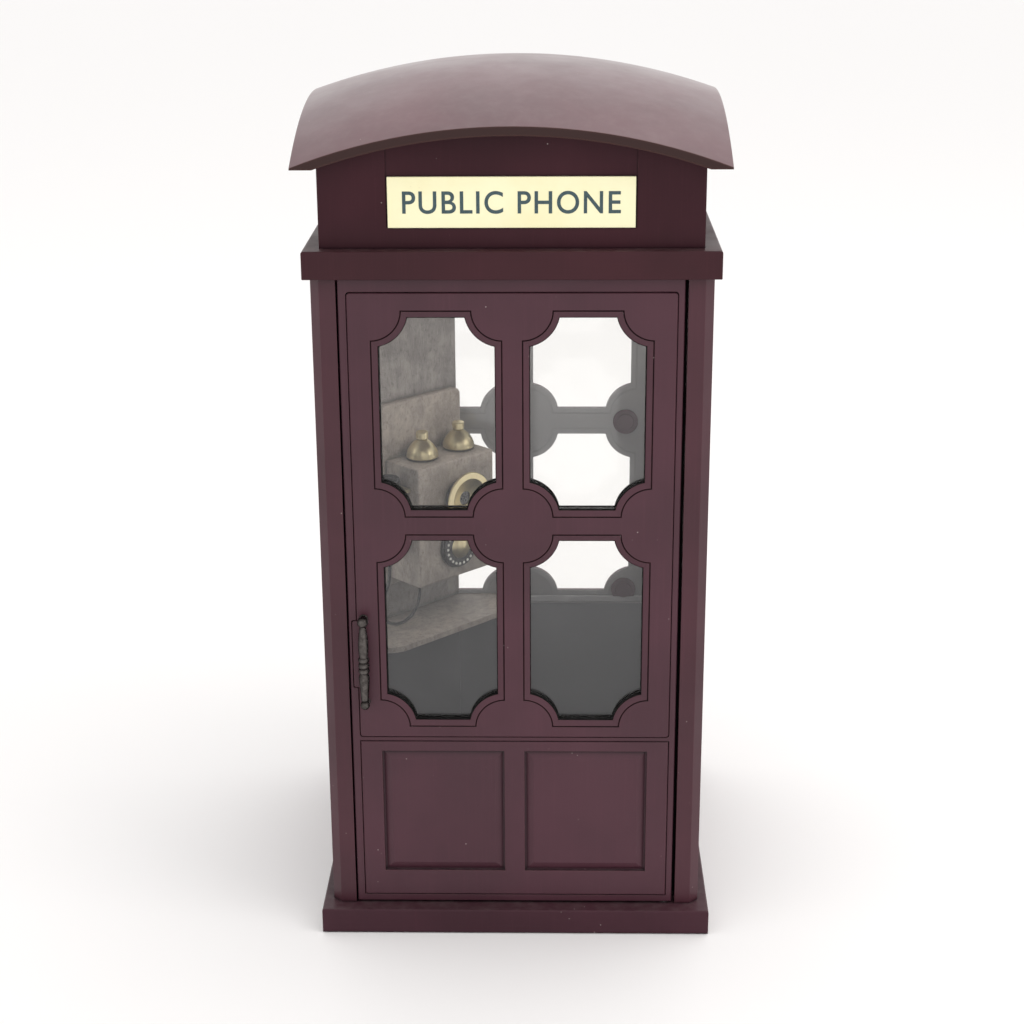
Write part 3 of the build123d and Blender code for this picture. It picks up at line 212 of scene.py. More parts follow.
    def finish(self, color, roughness, normal=None, **inputs):
        """Set the Principled shader's sockets and hand back the material."""
        plain = not isinstance(color, bpy.types.NodeSocket)
        self.feed(self.bsdf.inputs["Base Color"], (*color, 1) if plain else color)
        self.feed(self.bsdf.inputs["Roughness"], roughness)
        if normal is not None:
            self.link(normal, self.bsdf.inputs["Normal"])
        for key, value in inputs.items():
            self.feed(self.bsdf.inputs[key.replace("_", " ")], value)
        return self.mat


# ---------------------------------------------------------------- materials
PLUM = (0.061, 0.018, 0.029)
# reddish edges: wear together with a painted highlight
PLUM_EDGE_WEAR_HIGHLIGHT = (0.17, 0.062, 0.066)
# painted shade deep in grooves and gaps
PLUM_CREVICE_SHADE = (0.012, 0.003, 0.006)
PALE_MARK = (0.55, 0.47, 0.45)
DUST = (0.42, 0.38, 0.36)
LINING_DARK = (0.40, 0.39, 0.395)
LINING_LIGHT = (0.52, 0.50, 0.50)
# painted shade on the lining's low part
LINING_LOW_SHADE = (0.17, 0.17, 0.178)
LINING_STEP = (0.0985, 0.0995)      # heights between which the low lining ends, in metres
# painted shade on the roof's upright rim
RIM_PAINTED_SHADE = (0.026, 0.007, 0.006)
# painted highlight, with some wear, along the roof's edges
RIM_EDGE_WEAR_HIGHLIGHT = (0.14, 0.05, 0.04)
# painted shadow under the shelf, on the board
BOARD_SHELF_SHADOW = (0.115, 0.113, 0.118)


def plum_plastic(name, tone=1.0, warm=0.0, rough=0.42, shine=0.42, lined=False, rim=False):
    """Dark plum moulded plastic: uneven satin, reddish edges of wear and painted highlight, painted shade in
    its grooves, pale specks and a few scuffs.

    lined greys the faces that look into the booth and paints shade on their low part; rim paints shade on the
    roof's upright edge and a highlight along its edges.
    """
    s = Shader(name)
    base = shade(PLUM, tone)
    base = (base[0] * (1 + warm), base[1], base[2] * (1 - warm))
    cloudy = s.noise(14, 4, 0.55)
    color = s.mix(s.ramp(cloudy, 0.35, 0.68), shade(base, 0.88), shade(base, 1.14))
    streaks = s.noise(6, 5, 0.6, s.mapped((140, 140, 3)))
    color = s.mix(s.ramp(streaks, 0.5, 0.75, 0.0, 0.22), color, shade(base, 1.5))
    # reddish edges: wear together with a painted highlight where light catches them
    edges, soft_normal = s.edge_mask((1.2 if rim else 0.45) * MM)
    patchy = s.ramp(s.noise(90, 3, 0.6), 0.35, 0.6, 0.25, 1.0)
    worn = s.math("MULTIPLY", edges, patchy)
    color = s.mix(s.math("MULTIPLY", worn, 0.55), color, PLUM_EDGE_WEAR_HIGHLIGHT)
    # painted shade: darker plum deep in grooves and gaps
    color = s.mix(s.crevice(2.2 * MM), color, PLUM_CREVICE_SHADE)
    specks = s.dots(230, 0.045, 0.075, s.noise(60, 2, 0.5), 0.58, 0.64)
    scuffs = s.ramp(s.noise(24, 6, 0.72, s.mapped((9, 9, 60), (0.5, 0.3, 0.8))), 0.735, 0.76)
    marks = s.math("MAXIMUM", specks, s.math("MULTIPLY", scuffs, 0.35))
    color = s.mix(s.math("MULTIPLY", marks, 0.55), color, PALE_MARK)
    dust = s.math("MULTIPLY", s.facing_up(), s.ramp(s.noise(160, 5, 0.65), 0.35, 0.8, 0.02, 0.09))
    color = s.mix(dust, color, DUST)
    if lined:
        lining = s.mix(cloudy, LINING_DARK, LINING_LIGHT)
        # painted shade: the lining darker below a height
        lining = s.mix(s.height(*LINING_STEP), LINING_LOW_SHADE, lining)
        color = s.mix(s.facing_in(), color, lining)
    wax = 0.0
    if rim:
        # painted shade: the roof's upright rim darkened
        upright = s.ramp(s.steepness(), 0.35, 0.6, 1.0, 0.0)
        color = s.mix(upright, color, RIM_PAINTED_SHADE)
        # painted highlight, with some wear, along the roof's edges
        color = s.mix(s.math("MULTIPLY", edges, 0.55), color, RIM_EDGE_WEAR_HIGHLIGHT)
        wax = s.ramp(s.steepness(), 0.35, 0.6, 0.0, 0.72)
    gloss = s.ramp(s.noise(35, 4, 0.6), 0.3, 0.7, rough - 0.05, rough + 0.07)
    gloss = s.math("ADD", gloss, s.math("MULTIPLY", marks, 0.2), clamp=True)
    peel = s.noise(900, 2, 0.5)
    normal = s.bump(peel, 0.02 * MM, 0.03 if lined else 0.35, soft_normal)
    return s.finish(color, gloss, normal, Specular_IOR_Level=shine, Coat_Weight=wax, Coat_Roughness=0.32)


def clear_sheet():
    """Clear plastic sheet with a light haze, smudges and dust, which reflects the room."""
    s = Shader("clear_pane")
    see = s.node("ShaderNodeBsdfTransparent")
    see.inputs["Color"].default_value = (0.985, 0.985, 0.98, 1)
    haze = s.node("ShaderNodeBsdfDiffuse")
    haze.inputs["Color"].default_value = (0.82, 0.83, 0.83, 1)
    shine = s.node("ShaderNodeBsdfGlossy")
    shine.inputs["Roughness"].default_value = 0.06
    shine.inputs["Color"].default_value = (0.96, 0.97, 1.0, 1)
    smudge = s.ramp(s.noise(45, 6, 0.7, distortion=0.8), 0.4, 0.75, 0.01, 0.022)
    grit = s.dots(420, 0.05, 0.09, s.noise(70), 0.6, 0.66)
    fog = s.math("ADD", smudge, s.math("MULTIPLY", grit, 0.16), clamp=True)
    misty = s.node("ShaderNodeMixShader")
    s.link(fog, misty.inputs[0])
    s.link(see.outputs[0], misty.inputs[1])
    s.link(haze.outputs[0], misty.inputs[2])
    angle = s.node("ShaderNodeFresnel")
    angle.inputs["IOR"].default_value = 1.45
    reflect = s.math("MULTIPLY", angle.outputs[0], 0.8, clamp=True)
    both = s.node("ShaderNodeMixShader")
    s.link(reflect, both.inputs[0])
    s.link(misty.outputs[0], both.inputs[1])
    s.link(shine.outputs[0], both.inputs[2])
    s.link(both.outputs[0], s.out.inputs["Surface"])
    return s.mat


def stained_wood(name, tone, along, shade_below_shelf=None):
    """Grey-brown stained board: speckled pores, fine fibre along one way, soft mottling, a painted highlight
    on its edges and painted shade in its corners.

    Below the height given last, the board turns dark grey: a painted shadow under the shelf.
    """
    s = Shader(name)
    mottled = s.noise(55, 5, 0.6, distortion=0.5)
    fibre = s.noise(260, 5, 0.65, s.mapped(along))
    pores = s.noise(900, 3, 0.65, s.mapped(along))
    color = s.mix(s.ramp(mottled, 0.3, 0.7), shade(tone, 0.74), shade(tone, 1.12))
    color = s.mix(s.ramp(fibre, 0.35, 0.7, 0.0, 0.45), color, shade(tone, 0.45))
    color = s.mix(s.ramp(pores, 0.53, 0.68, 0.0, 0.5), color, shade(tone, 0.32))
    color = s.mix(s.ramp(pores, 0.28, 0.42, 0.22, 0.0), color, shade(tone, 1.7))
    edges, soft_normal = s.edge_mask(0.6 * MM)
    # painted highlight: lighter along the edges
    color = s.mix(s.math("MULTIPLY", edges, 0.5), color, shade(tone, 1.5))
    # painted shade: darker in corners and gaps
    color = s.mix(s.crevice(5 * MM, 0.25, 0.95), color, shade(tone, 0.25))
    # painted shadow under the shelf: dark grey below the given height
    if shade_below_shelf:
        color = s.mix(s.height(shade_below_shelf - 0.001, shade_below_shelf), BOARD_SHELF_SHADOW, color)
    normal = s.bump(pores, 0.06 * MM, 0.5, soft_normal)
    return s.finish(color, s.ramp(mottled, 0.2, 0.8, 0.48, 0.62), normal, Specular_IOR_Level=0.35)


def cast_metal(name, tone, dark, rough, shine_noise=0.1, metallic=1.0, tarnish_and_shade=1.0, edge_wear_and_highlight=1.5, pits=0.5,
               front_wear_and_highlight=None):
    """Cast metal: darker in the crevices with tarnish and painted shade, brighter on the edges with wear and
    a painted highlight, faintly pitted.

    The arguments after metallic set how strongly the crevices darken, how much brighter the edges are, how
    strongly the pits show, and the colour of a painted highlight, with hand wear, on faces that look to the
    front.
    """
    s = Shader(name)
    cloudy = s.noise(220, 4, 0.6)
    color = s.mix(s.ramp(cloudy, 0.3, 0.7), shade(tone, 0.86), tone)
    # painted highlight, with hand wear, on faces that look to the front
    if front_wear_and_highlight:
        patchy = s.ramp(s.noise(420, 4, 0.7), 0.35, 0.65, 0.35, 1.0)
        worn = s.math("MULTIPLY", s.facing_front(0.62, 1.0), patchy)
        color = s.mix(worn, color, front_wear_and_highlight)
    # darker in the crevices: tarnish together with painted shade
    color = s.mix(s.math("MULTIPLY", s.crevice(1.6 * MM, 0.3, 0.95), tarnish_and_shade), color, dark)
    # brighter on the edges: wear together with a painted highlight
    edges, soft_normal = s.edge_mask(0.25 * MM)
    color = s.mix(s.math("MULTIPLY", edges, 0.5), color, shade(tone, edge_wear_and_highlight))
    gloss = s.ramp(cloudy, 0.3, 0.7, rough - shine_noise, rough + shine_noise)
    normal = s.bump(s.noise(1400, 3, 0.6), 0.02 * MM, pits, soft_normal)
    return s.finish(color, gloss, normal, Metallic=metallic)


def plain_plastic(name, tone, rough, grain=700, depth=0.015, clear_coat=0.0, shine=0.5):
    """Moulded plastic with slight mottling, a fine grain, a painted highlight on its edges and painted shade
    in its gaps.
    """
    s = Shader(name)
    mottled = s.noise(120, 3, 0.5)
    color = s.mix(s.ramp(mottled, 0.3, 0.7), shade(tone, 0.88), shade(tone, 1.08))
    edges, soft_normal = s.edge_mask(0.25 * MM)
    # painted highlight: lighter along the edges
    color = s.mix(s.math("MULTIPLY", edges, 0.3), color, shade(tone, 1.6, 0.01))
    # painted shade: darker in gaps and corners
    color = s.mix(s.crevice(1.5 * MM, 0.2, 0.85), color, shade(tone, 0.4))
    normal = s.bump(s.noise(grain, 2, 0.5), depth * MM, 0.4, soft_normal)
    gloss = s.ramp(mottled, 0.3, 0.7, rough - 0.04, rough + 0.05)
    return s.finish(color, gloss, normal, Specular_IOR_Level=shine, Coat_Weight=clear_coat)


def felt():
    """Dark matted felt."""
    s = Shader("felt")
    fuzz = s.noise(2600, 4, 0.7)
    color = s.mix(s.ramp(fuzz, 0.3, 0.7), (0.012, 0.012, 0.013), (0.05, 0.048, 0.046))
    return s.finish(color, 0.95, s.bump(fuzz, 0.2 * MM, 0.9), Sheen_Weight=0.4)


def printed_plate():
    """Cream sign plate: faint yellowing towards its rim, slight print texture, soft sheen."""
    s = Shader("cream_plate")
    aged = s.noise(30, 5, 0.6)
    color = s.mix(s.ramp(aged, 0.35, 0.7), (0.93, 0.90, 0.60), (0.90, 0.85, 0.53))
    edges, soft_normal = s.edge_mask(0.5 * MM)
    color = s.mix(s.math("MULTIPLY", edges, 0.5), color, (0.72, 0.66, 0.42))
    specks = s.dots(500, 0.05, 0.08, s.noise(80), 0.6, 0.66)
    color = s.mix(s.math("MULTIPLY", specks, 0.5), color, (0.45, 0.40, 0.28))
    normal = s.bump(s.noise(1500, 2, 0.5), 0.01 * MM, 0.3, soft_normal)
    return s.finish(color, 0.38, normal, Specular_IOR_Level=0.45)


def printed_ink():
    """Dark blue-green ink, slightly worn."""
    s = Shader("sign_ink")
    worn = s.ramp(s.noise(700, 4, 0.6), 0.3, 0.75)
    return s.finish(s.mix(worn, (0.028, 0.060, 0.072), (0.045, 0.088, 0.100)), 0.45)


def braided_cord():
    """Dark braided cotton over rubber, its weave running round the cord."""
    s = Shader("cord_black")
    weave = s.cells(1500)
    color = s.mix(s.ramp(weave, 0.1, 0.55), (0.055, 0.05, 0.047), (0.014, 0.013, 0.013))
    return s.finish(color, 0.75, s.bump(weave, 0.15 * MM, 0.8), Sheen_Weight=0.3)


GREY_WOOD = (0.43, 0.375, 0.33)
MATERIALS = {
    "plum": plum_plastic("plum", tone=0.93, shine=0.38),
    # the roof's lighter copy of the plum: painted light
    "plum_roof": plum_plastic("plum_roof", tone=1.25, warm=0.1, rough=0.38, shine=0.32, rim=True),
    "dark_floor": plain_plastic("dark_floor", (0.035, 0.026, 0.028), 0.6),
    "clear_pane": clear_sheet(),
    "felt": felt(),
    "cream_plate": printed_plate(),
    "steel": cast_metal("steel", (0.55, 0.55, 0.56), (0.2, 0.2, 0.2), 0.3),
    "pewter": cast_metal(
        "pewter", (0.034, 0.029, 0.028), (0.0015, 0.001, 0.001), 0.24, edge_wear_and_highlight=7.0,
        front_wear_and_highlight=(0.125, 0.114, 0.108),
    ),
    "grey_board": stained_wood("grey_board", (0.34, 0.31, 0.29), (1, 1, 0.4), shade_below_shelf=0.103),
    "phone_wood": stained_wood("phone_wood", GREY_WOOD, (1, 1, 0.55)),
    "aged_brass": cast_metal(
        "aged_brass", (0.80, 0.69, 0.42), (0.22, 0.17, 0.08), 0.33, 0.03, metallic=0.9, tarnish_and_shade=0.55, pits=0.15
    ),
    "black_plastic": plain_plastic("black_plastic", (0.02, 0.018, 0.018), 0.35, clear_coat=0.3),
    "white_enamel": plain_plastic("white_enamel", (0.86, 0.85, 0.80), 0.3, clear_coat=0.3),
    "cord_black": braided_cord(),
}
# copies of the one plum plastic, toned part by part: painted light and shade, darkest on the cornice and
# frieze
CORNICE_SHADED_PLUM = plum_plastic("plum_cornice", tone=0.60, warm=0.12, shine=0.20)
FRIEZE_SHADED_PLUM = plum_plastic("plum_frieze", tone=0.62, warm=0.08, shine=0.14)
POST_PLUM = plum_plastic("plum_posts", tone=0.85, warm=0.05, shine=0.35)
WALL_PLUM = plum_plastic("plum_walls", lined=True)
PLINTH_PLUM = plum_plastic("plum_plinth", tone=0.72, shine=0.22)
PLUMS_LIT_AND_SHADED = {
    "wall_left": WALL_PLUM,
    "wall_right": WALL_PLUM,
    "wall_back": WALL_PLUM,
    "beads_left": WALL_PLUM,
    "beads_right": WALL_PLUM,
    "beads_back": WALL_PLUM,
    "plinth": PLINTH_PLUM,
    "cornice": CORNICE_SHADED_PLUM,
    "frieze_front": FRIEZE_SHADED_PLUM,
    "frieze_back": FRIEZE_SHADED_PLUM,
    "frieze_left": FRIEZE_SHADED_PLUM,
    "frieze_right": FRIEZE_SHADED_PLUM,
    "post_front_left": POST_PLUM,
    "post_front_right": POST_PLUM,
    "post_back_left": POST_PLUM,
    "post_back_right": POST_PLUM,
}

slot_of = {entry["node"]: entry["material_slot"] for entry in frame["record"]["subparts"]}
for node_name, node in NODES.items():
    chosen = PLUMS_LIT_AND_SHADED.get(node_name, MATERIALS[slot_of[node_name]])
    if not node.data.materials:
        node.data.materials.append(chosen)
    for index in range(len(node.material_slots)):
        node.material_slots[index].material = chosen


def round_edges(node_name, width, segments=3, angle=35):
    """Round a CAD node's sharp edges for the light to catch, without touching its mesh."""
    bevel = NODES[node_name].modifiers.new("soft_edges", "BEVEL")
    bevel.width = width * MM
    bevel.segments = segments
    bevel.limit_method = "ANGLE"
    bevel.angle_limit = math.radians(angle)
    bevel.harden_normals = True


round_edges("roof_shell", 0.9)

# ---------------------------------------------------------------- printed word on the sign
WORD = "PUBLIC PHONE"
WORD_W = 91.0
WORD_H = 9.5
WORD_PROUD = 0.05


def sign_lettering():
    """The sign's generic words, as thin raised letters on its plate."""
    low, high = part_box("sign_plate")
    text = bpy.data.curves.new("sign_word", "FONT")
    text.body = WORD
    text.align_x = "CENTER"
    text.align_y = "CENTER"
    text.size = 0.0125
    text.space_character = 1.12
    text.extrude = 0.06 * MM
    text.offset = 0.00012
    holder = bpy.data.objects.new("sign_word_source", text)
    bpy.context.scene.collection.objects.link(holder)
    bpy.context.view_layer.update()
    mesh = bpy.data.meshes.new_from_object(holder.evaluated_get(bpy.context.evaluated_depsgraph_get()))
    bpy.data.objects.remove(holder)
    xs = [v.co.x for v in mesh.vertices]
    ys = [v.co.y for v in mesh.vertices]
    wide = WORD_W * MM / (max(xs) - min(xs))
    tall = WORD_H * MM / (max(ys) - min(ys))
    middle = (low + high) / 2
    for vertex in mesh.vertices:
        x = (vertex.co.x - (max(xs) + min(xs)) / 2) * wide
        z = (vertex.co.y - (max(ys) + min(ys)) / 2) * tall
        vertex.co = (middle.x + x, low.y - WORD_PROUD * MM - vertex.co.z, middle.z + z)
    word = bpy.data.objects.new("sign_word", mesh)
    bpy.context.scene.collection.objects.link(word)
    mesh.materials.clear()
    mesh.materials.append(printed_ink())
    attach(word, "booth")


sign_lettering()

# ---------------------------------------------------------------- seals, painted-shadow fills in the reveals, and strips, in millimetres
LIGHT_IN = 4.15             # inner edge of a light from the wall's upright centre line
LIGHT_OUT = 60.5
LIGHT_ROWS = ((102.8, 195.7), (203.4, 296.1))
LIGHT_NOTCH = 13.0          # radius of a light's notched corners
BEAD_W = 3.1                # moulding round a light
RING_GAP = 0.02             # a ring's set-back from the face beside it
# near-black rubber lips, which also stand in for the shade deep inside each light's moulding
LIP_T = 0.3
LIP_FRONT = (1.1, 3.48)     # depths of the lips before and behind the door's pane
LIP_BACK = (4.52, 6.9)
# the dark fill in each moulding's reveal: a painted shadow
REVEAL_T = 0.56
REVEAL_DOOR = (0.35, 3.45)
REVEAL_WALL = (0.35, 3.35)
NOTCH_STEPS = 10


def light_loop(x_low, x_high, z_low, z_high, inset):
    """Points round a light with four concave quarter-round corners, inset by this much."""
    radius = LIGHT_NOTCH + inset
    loop = []
    corners = ((x_low, z_low, 90), (x_high, z_low, 180), (x_high, z_high, 270), (x_low, z_high, 0))
    for cx, cz, start in corners:
        low_angle = math.degrees(math.asin(inset / radius))
        for step in range(NOTCH_STEPS + 1):
            angle = math.radians(start - low_angle - (90 - 2 * low_angle) * step / NOTCH_STEPS)
            loop.append((cx + radius * math.cos(angle), cz + radius * math.sin(angle)))
    return loop


def ring_solids(mesh, place, inset, thick, near, far):
    """A thin solid ring along each light's outline.

    place turns across, height and depth into a point.
    """
    for x_low, x_high in ((-LIGHT_OUT, -LIGHT_IN), (LIGHT_IN, LIGHT_OUT)):
        for z_low, z_high in LIGHT_ROWS:
            outer = light_loop(x_low, x_high, z_low, z_high, inset)
            inner = light_loop(x_low, x_high, z_low, z_high, inset + thick)
            rings = []
            for loop, depth in ((outer, near), (inner, near), (inner, far), (outer, far)):
                rings.append([mesh.verts.new(place(x, z, depth)) for x, z in loop])
            count = len(outer)
            for ring, after in zip(rings, rings[1:] + rings[:1]):
                for k in range(count):
                    mesh.faces.new((ring[k], ring[(k + 1) % count], after[(k + 1) % count], after[k]))


def new_piece(name, mesh, material, body):
    """Turn a bmesh into an object that rides on a body."""
    bmesh.ops.recalc_face_normals(mesh, faces=mesh.faces)
    data = bpy.data.meshes.new(name)
    mesh.to_mesh(data)
    mesh.free()
    data.materials.append(material)
    piece = bpy.data.objects.new(name, data)
    bpy.context.scene.collection.objects.link(piece)
    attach(piece, body)
    return piece


# near-black rubber, also a dark stand-in for shade in narrow gaps
BLACK_RUBBER_AND_SHADE = plain_plastic("rubber", (0.004, 0.0035, 0.0035), 0.7, shine=0.12)
# dark plum for the reveal fills: a painted shadow
SHADOW_PLUM = plum_plastic("reveal_shadow", tone=0.25, shine=0.1, lined=True)


def door_seals():
    """Near-black rubber lips each side of the door's pane, which also stand in for the shade inside each
    moulding, and a painted shadow filling the reveal round each moulding.
    """
    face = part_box("door_lattice")[0].y

    def place(x, z, depth):
        return x * MM, face + depth * MM, z * MM

    lips = bmesh.new()
    ring_solids(lips, place, BEAD_W + RING_GAP, LIP_T, *LIP_FRONT)
    ring_solids(lips, place, BEAD_W + RING_GAP, LIP_T, *LIP_BACK)
    new_piece("door_seals", lips, BLACK_RUBBER_AND_SHADE, "door")
    reveal = bmesh.new()
    ring_solids(reveal, place, RING_GAP, REVEAL_T, *REVEAL_DOOR)
    new_piece("door_reveals", reveal, SHADOW_PLUM, "door")


def wall_reveals():
    """A painted shadow filling the reveal round each moulding on the three fixed walls."""
    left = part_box("wall_left")[0].x
    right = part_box("wall_right")[1].x
    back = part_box("wall_back")[1].y
    places = (
        ("left", lambda x, z, depth: (left + depth * MM, x * MM, z * MM)),
        ("right", lambda x, z, depth: (right - depth * MM, x * MM, z * MM)),
        ("back", lambda x, z, depth: (x * MM, back - depth * MM, z * MM)),
    )
    for side, place in places:
        reveal = bmesh.new()
        ring_solids(reveal, place, RING_GAP, REVEAL_T, *REVEAL_WALL)
        new_piece(f"reveals_{side}", reveal, SHADOW_PLUM, "booth")


def prism(ends):
    """A closed bar between two outlines with as many points."""
    mesh = bmesh.new()
    first, last = [[mesh.verts.new(point) for point in end] for end in ends]
    for k in range(len(first)):
        after = (k + 1) % len(first)
        mesh.faces.new((first[k], first[after], last[after], last[k]))
    mesh.faces.new(first)
    mesh.faces.new(last)
    return mesh


def pane_ledge():
    """The light retaining strip along the foot of the back pane."""
    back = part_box("wall_back")[0].y - RING_GAP * MM
    ends = (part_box("phone_board")[1].x + 1.0 * MM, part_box("post_back_right")[0].x - 0.6 * MM)
    profile = ((0, 99.9), (0, 103.4), (-0.7, 103.4), (-1.0, 103.1), (-1.0, 100.2), (-0.7, 99.9))
    strip = prism([[(x, back + y * MM, z * MM) for y, z in profile] for x in ends])
    material = plain_plastic("clip_strip", (0.36, 0.355, 0.36), 0.35, clear_coat=0.4)
    new_piece("pane_ledge", strip, material, "booth")


def hinge_gap_shade_strip():
    """A dark strip on the hinge-side post that closes the view through the gap beside the door: a stand-in
    for the shade in that gap.
    """
    door_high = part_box("door_frame")[1]
    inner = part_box("post_front_right")[0].x
    profile = ((0, 0.5), (0, 3.4), (-1.5, 3.4), (-1.7, 2.9), (-1.7, 1.1), (-1.2, 0.5))
    heights = (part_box("floor_board")[1].z + 0.2 * MM, door_high.z - 1.0 * MM)
    strip = prism([[(inner + x * MM, door_high.y + y * MM, z) for x, y in profile] for z in heights])
    new_piece("hinge_gap_shade_strip", strip, BLACK_RUBBER_AND_SHADE, "booth")


door_seals()
wall_reveals()
pane_ledge()
hinge_gap_shade_strip()

# ---------------------------------------------------------------- receiver cord
BOARD_X = -32.4             # where the diagonal board's line starts, at the back wall
WALL_HALF = 78.3
CORD_POINTS = (             # along the diagonal, out from it, height
    (-47.0, 22.5, 127.0),
    (-47.0, 22.5, 120.6),
    (-51.5, 22.3, 113.2),
    (-58.8, 20.6, 109.2),
    (-66.3, 18.4, 111.6),
    (-68.6, 17.2, 119.6),
    (-65.2, 16.8, 126.8),
    (-61.5, 16.8, 132.8),
    (-61.5, 16.8, 141.0),
)
CORD_R = 0.9
CORD_SIDES = 18
CORD_STEP = 0.25            # length of one ring of the braid's mesh
BRAID_TWIST = 2200          # turns of the strands, in radians per metre
BRAID_RISE = 0.035
BRAID_BASE = 0.965          # radius between the strands, as a share of the cord's


def phone_point(s, out, height):
    """A point given along the diagonal board, out from it and by height, in the row frame."""
    half = 2 ** -0.5
    return Vector((BOARD_X + (s + out) * half, WALL_HALF + (s - out) * half, height)) * MM


def route_points():
    """Points along the cord's smooth line, read from its NURBS spline."""
    curve = bpy.data.curves.new("cord_route", "CURVE")
    curve.dimensions = "3D"
    spline = curve.splines.new("NURBS")
    spline.points.add(len(CORD_POINTS) - 1)
    for point, where in zip(spline.points, CORD_POINTS):
        point.co = (*phone_point(*where), 1)
    spline.order_u = 3
    spline.use_endpoint_u = True
    curve.resolution_u = 12
    holder = bpy.data.objects.new("cord_route", curve)
    bpy.context.scene.collection.objects.link(holder)
    bpy.context.view_layer.update()
    line = bpy.data.meshes.new_from_object(holder.evaluated_get(bpy.context.evaluated_depsgraph_get()))
    points = [v.co.copy() for v in line.vertices]
    bpy.data.objects.remove(holder)
    return points


def tube_along(points, radius, sides, twist_per_metre):
    """A round tube whose surface carries a raised braid of crossing strands."""
    mesh = bmesh.new()
    along = 0.0
    rings = []
    side = Vector((1, 0, 0))
    for index, point in enumerate(points):
        ahead = points[min(index + 1, len(points) - 1)] - points[max(index - 1, 0)]
        ahead.normalize()
        if index:
            along += (point - points[index - 1]).length
        side = (side - ahead * side.dot(ahead)).normalized()
        other = ahead.cross(side)
        ring = []
        for k in range(sides):
            angle = 2 * math.pi * k / sides
            lift = BRAID_RISE * math.sin(3 * angle + along * twist_per_metre)
            lift += BRAID_RISE * math.sin(3 * angle - along * twist_per_metre)
            r = radius * (BRAID_BASE + lift * 0.5)
            ring.append(mesh.verts.new(point + (side * math.cos(angle) + other * math.sin(angle)) * r))
        rings.append(ring)
    for a, b in zip(rings, rings[1:]):
        for k in range(sides):
            mesh.faces.new((a[k], a[(k + 1) % sides], b[(k + 1) % sides], b[k]))
    mesh.faces.new(list(reversed(rings[0])))
    mesh.faces.new(rings[-1])
    bmesh.ops.recalc_face_normals(mesh, faces=mesh.faces)
    data = bpy.data.meshes.new("receiver_cord_braid")
    mesh.to_mesh(data)
    mesh.free()
    for polygon in data.polygons:
        polygon.use_smooth = True
    return data


def finer(points, step):
    """The same line with points no further apart than step."""
    out = [points[0]]
    for a, b in zip(points, points[1:]):
        count = max(1, math.ceil((b - a).length / step))
        out.extend(a.lerp(b, (k + 1) / count) for k in range(count))
    return out


def receiver_cord():
    """The braided cord from the telephone box's gland to the receiver."""
    points = route_points()
    data = tube_along(finer(points, CORD_STEP * MM), CORD_R * MM, CORD_SIDES, BRAID_TWIST)
    data.materials.append(MATERIALS["cord_black"])
    cord = bpy.data.objects.new("receiver_cord_braid", data)
    bpy.context.scene.collection.objects.link(cord)
    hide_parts("receiver_cord")
    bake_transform(cord)


receiver_cord()


# ---------------------------------------------------------------- studio: floor, light, camera
FLOOR_REACH = 8.0
WORLD_STRENGTH = 1.12
AIM = Vector((0, 0, 0.2))
SOFTBOXES = (               # name, place, size, power, tint
    ("softbox_top", (0.35, 0.15, 1.7), 1.2, 5, (1.0, 0.98, 0.96)),
    ("softbox_right", (1.3, -0.7, 1.2), 0.9, 5, (1.0, 0.97, 0.95)),
    ("softbox_left", (-1.4, -0.8, 1.0), 1.0, 0.8, (0.97, 0.98, 1.0)),
)
CAMERA_AT = (0.0170, -0.8957, 0.4867)
CAMERA_LENS = 69.13
CAMERA_DOWN = 0.3327        # angles in radians
CAMERA_ASIDE = -0.0215
CAMERA_ROLL = -0.0059


def softbox(name, size, power, tint):
    """A soft square light."""
    light = bpy.data.lights.new(name, "AREA")
    light.energy = power
    light.size = size
    light.color = tint
    holder = bpy.data.objects.new(name, light)
    bpy.context.scene.collection.objects.link(holder)
    return holder


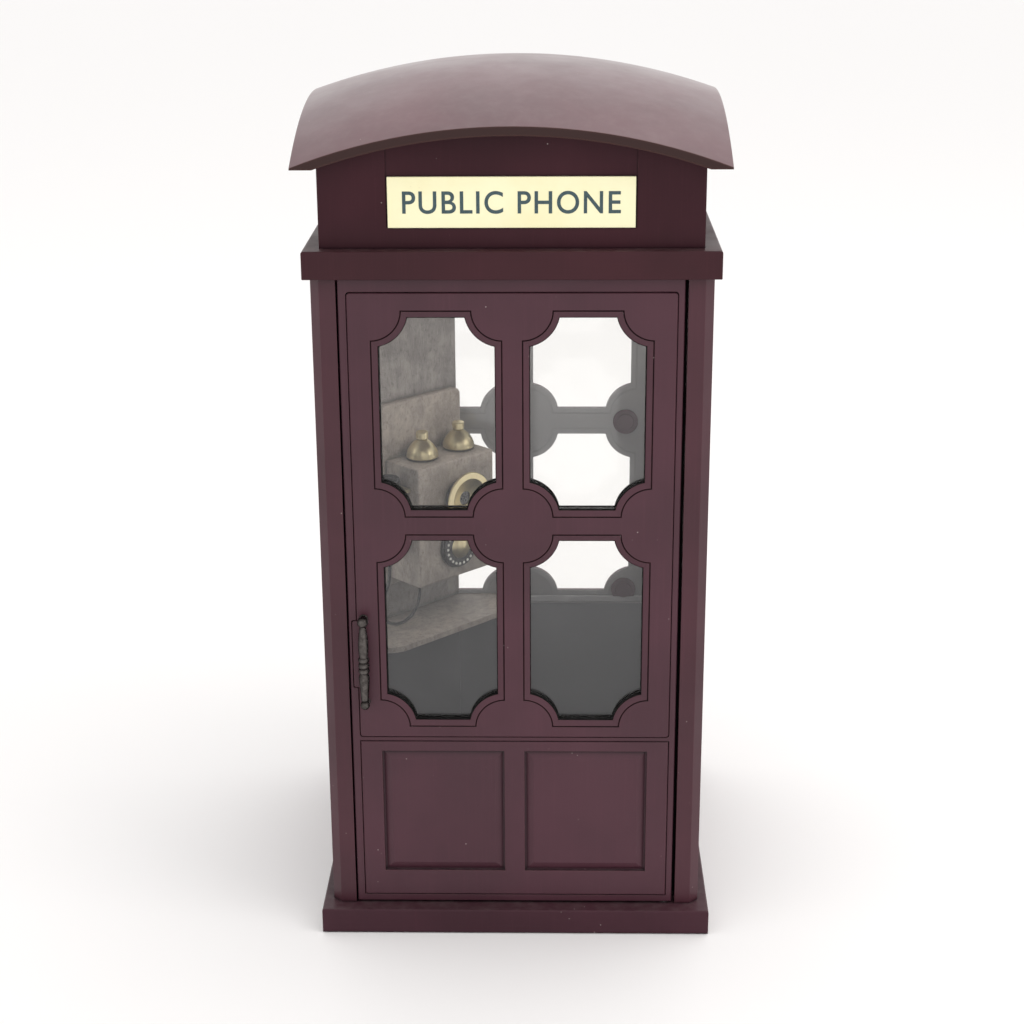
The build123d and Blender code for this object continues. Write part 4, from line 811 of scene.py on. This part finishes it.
def studio():
    """A pale floor, an even pale surround and three weak softboxes."""
    floor_mesh = bpy.data.meshes.new("studio_floor")
    corners = [(x * FLOOR_REACH, y * FLOOR_REACH, 0) for x, y in ((-1, -1), (1, -1), (1, 1), (-1, 1))]
    floor_mesh.from_pydata(corners, [], [(0, 1, 2, 3)])
    floor = bpy.data.objects.new("studio_floor", floor_mesh)
    bpy.context.scene.collection.objects.link(floor)
    s = Shader("studio_floor")
    floor_mesh.materials.append(s.finish((0.86, 0.855, 0.855), 0.7, Specular_IOR_Level=0.2))

    world = bpy.data.worlds.new("studio_world")
    bpy.context.scene.world = world
    world.use_nodes = True
    background = world.node_tree.nodes["Background"]
    background.inputs["Color"].default_value = (1.0, 0.985, 0.975, 1)
    background.inputs["Strength"].default_value = WORLD_STRENGTH

    for name, place, size, power, tint in SOFTBOXES:
        box = softbox(name, size, power, tint)
        box.location = place
        box.rotation_euler = (AIM - Vector(place)).to_track_quat("-Z", "Y").to_euler()


def inside_light():
    """A weak soft light under the ceiling, so that the telephone reads through the panes."""
    box = softbox("softbox_inside", 0.11, 0.09, (1.0, 0.97, 0.93))
    box.location = (0.02, -0.02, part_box("ceiling_board")[0].z - 0.004)
    box.visible_camera = False
    box.visible_glossy = False


def camera():
    """Standing 0.9 m in front of the door and above the roof, looking down at it."""
    data = bpy.data.cameras.new("camera")
    data.sensor_width = 36
    data.lens = CAMERA_LENS
    data.clip_start = 0.01
    holder = bpy.data.objects.new("camera", data)
    bpy.context.scene.collection.objects.link(holder)
    right = Vector((math.cos(CAMERA_ASIDE), -math.sin(CAMERA_ASIDE), 0))
    level = Vector((math.sin(CAMERA_ASIDE), math.cos(CAMERA_ASIDE), 0))
    ahead = level * math.cos(CAMERA_DOWN) - Vector((0, 0, math.sin(CAMERA_DOWN)))
    above = right.cross(ahead)
    side = right * math.cos(CAMERA_ROLL) + above * math.sin(CAMERA_ROLL)
    top = above * math.cos(CAMERA_ROLL) - right * math.sin(CAMERA_ROLL)
    rotation = Matrix((side, top, -ahead)).transposed().to_4x4()
    holder.matrix_world = Matrix.Translation(Vector(CAMERA_AT)) @ rotation
    bpy.context.scene.camera = holder


studio()
inside_light()
camera()
bpy.context.scene.view_settings.view_transform = "Standard"
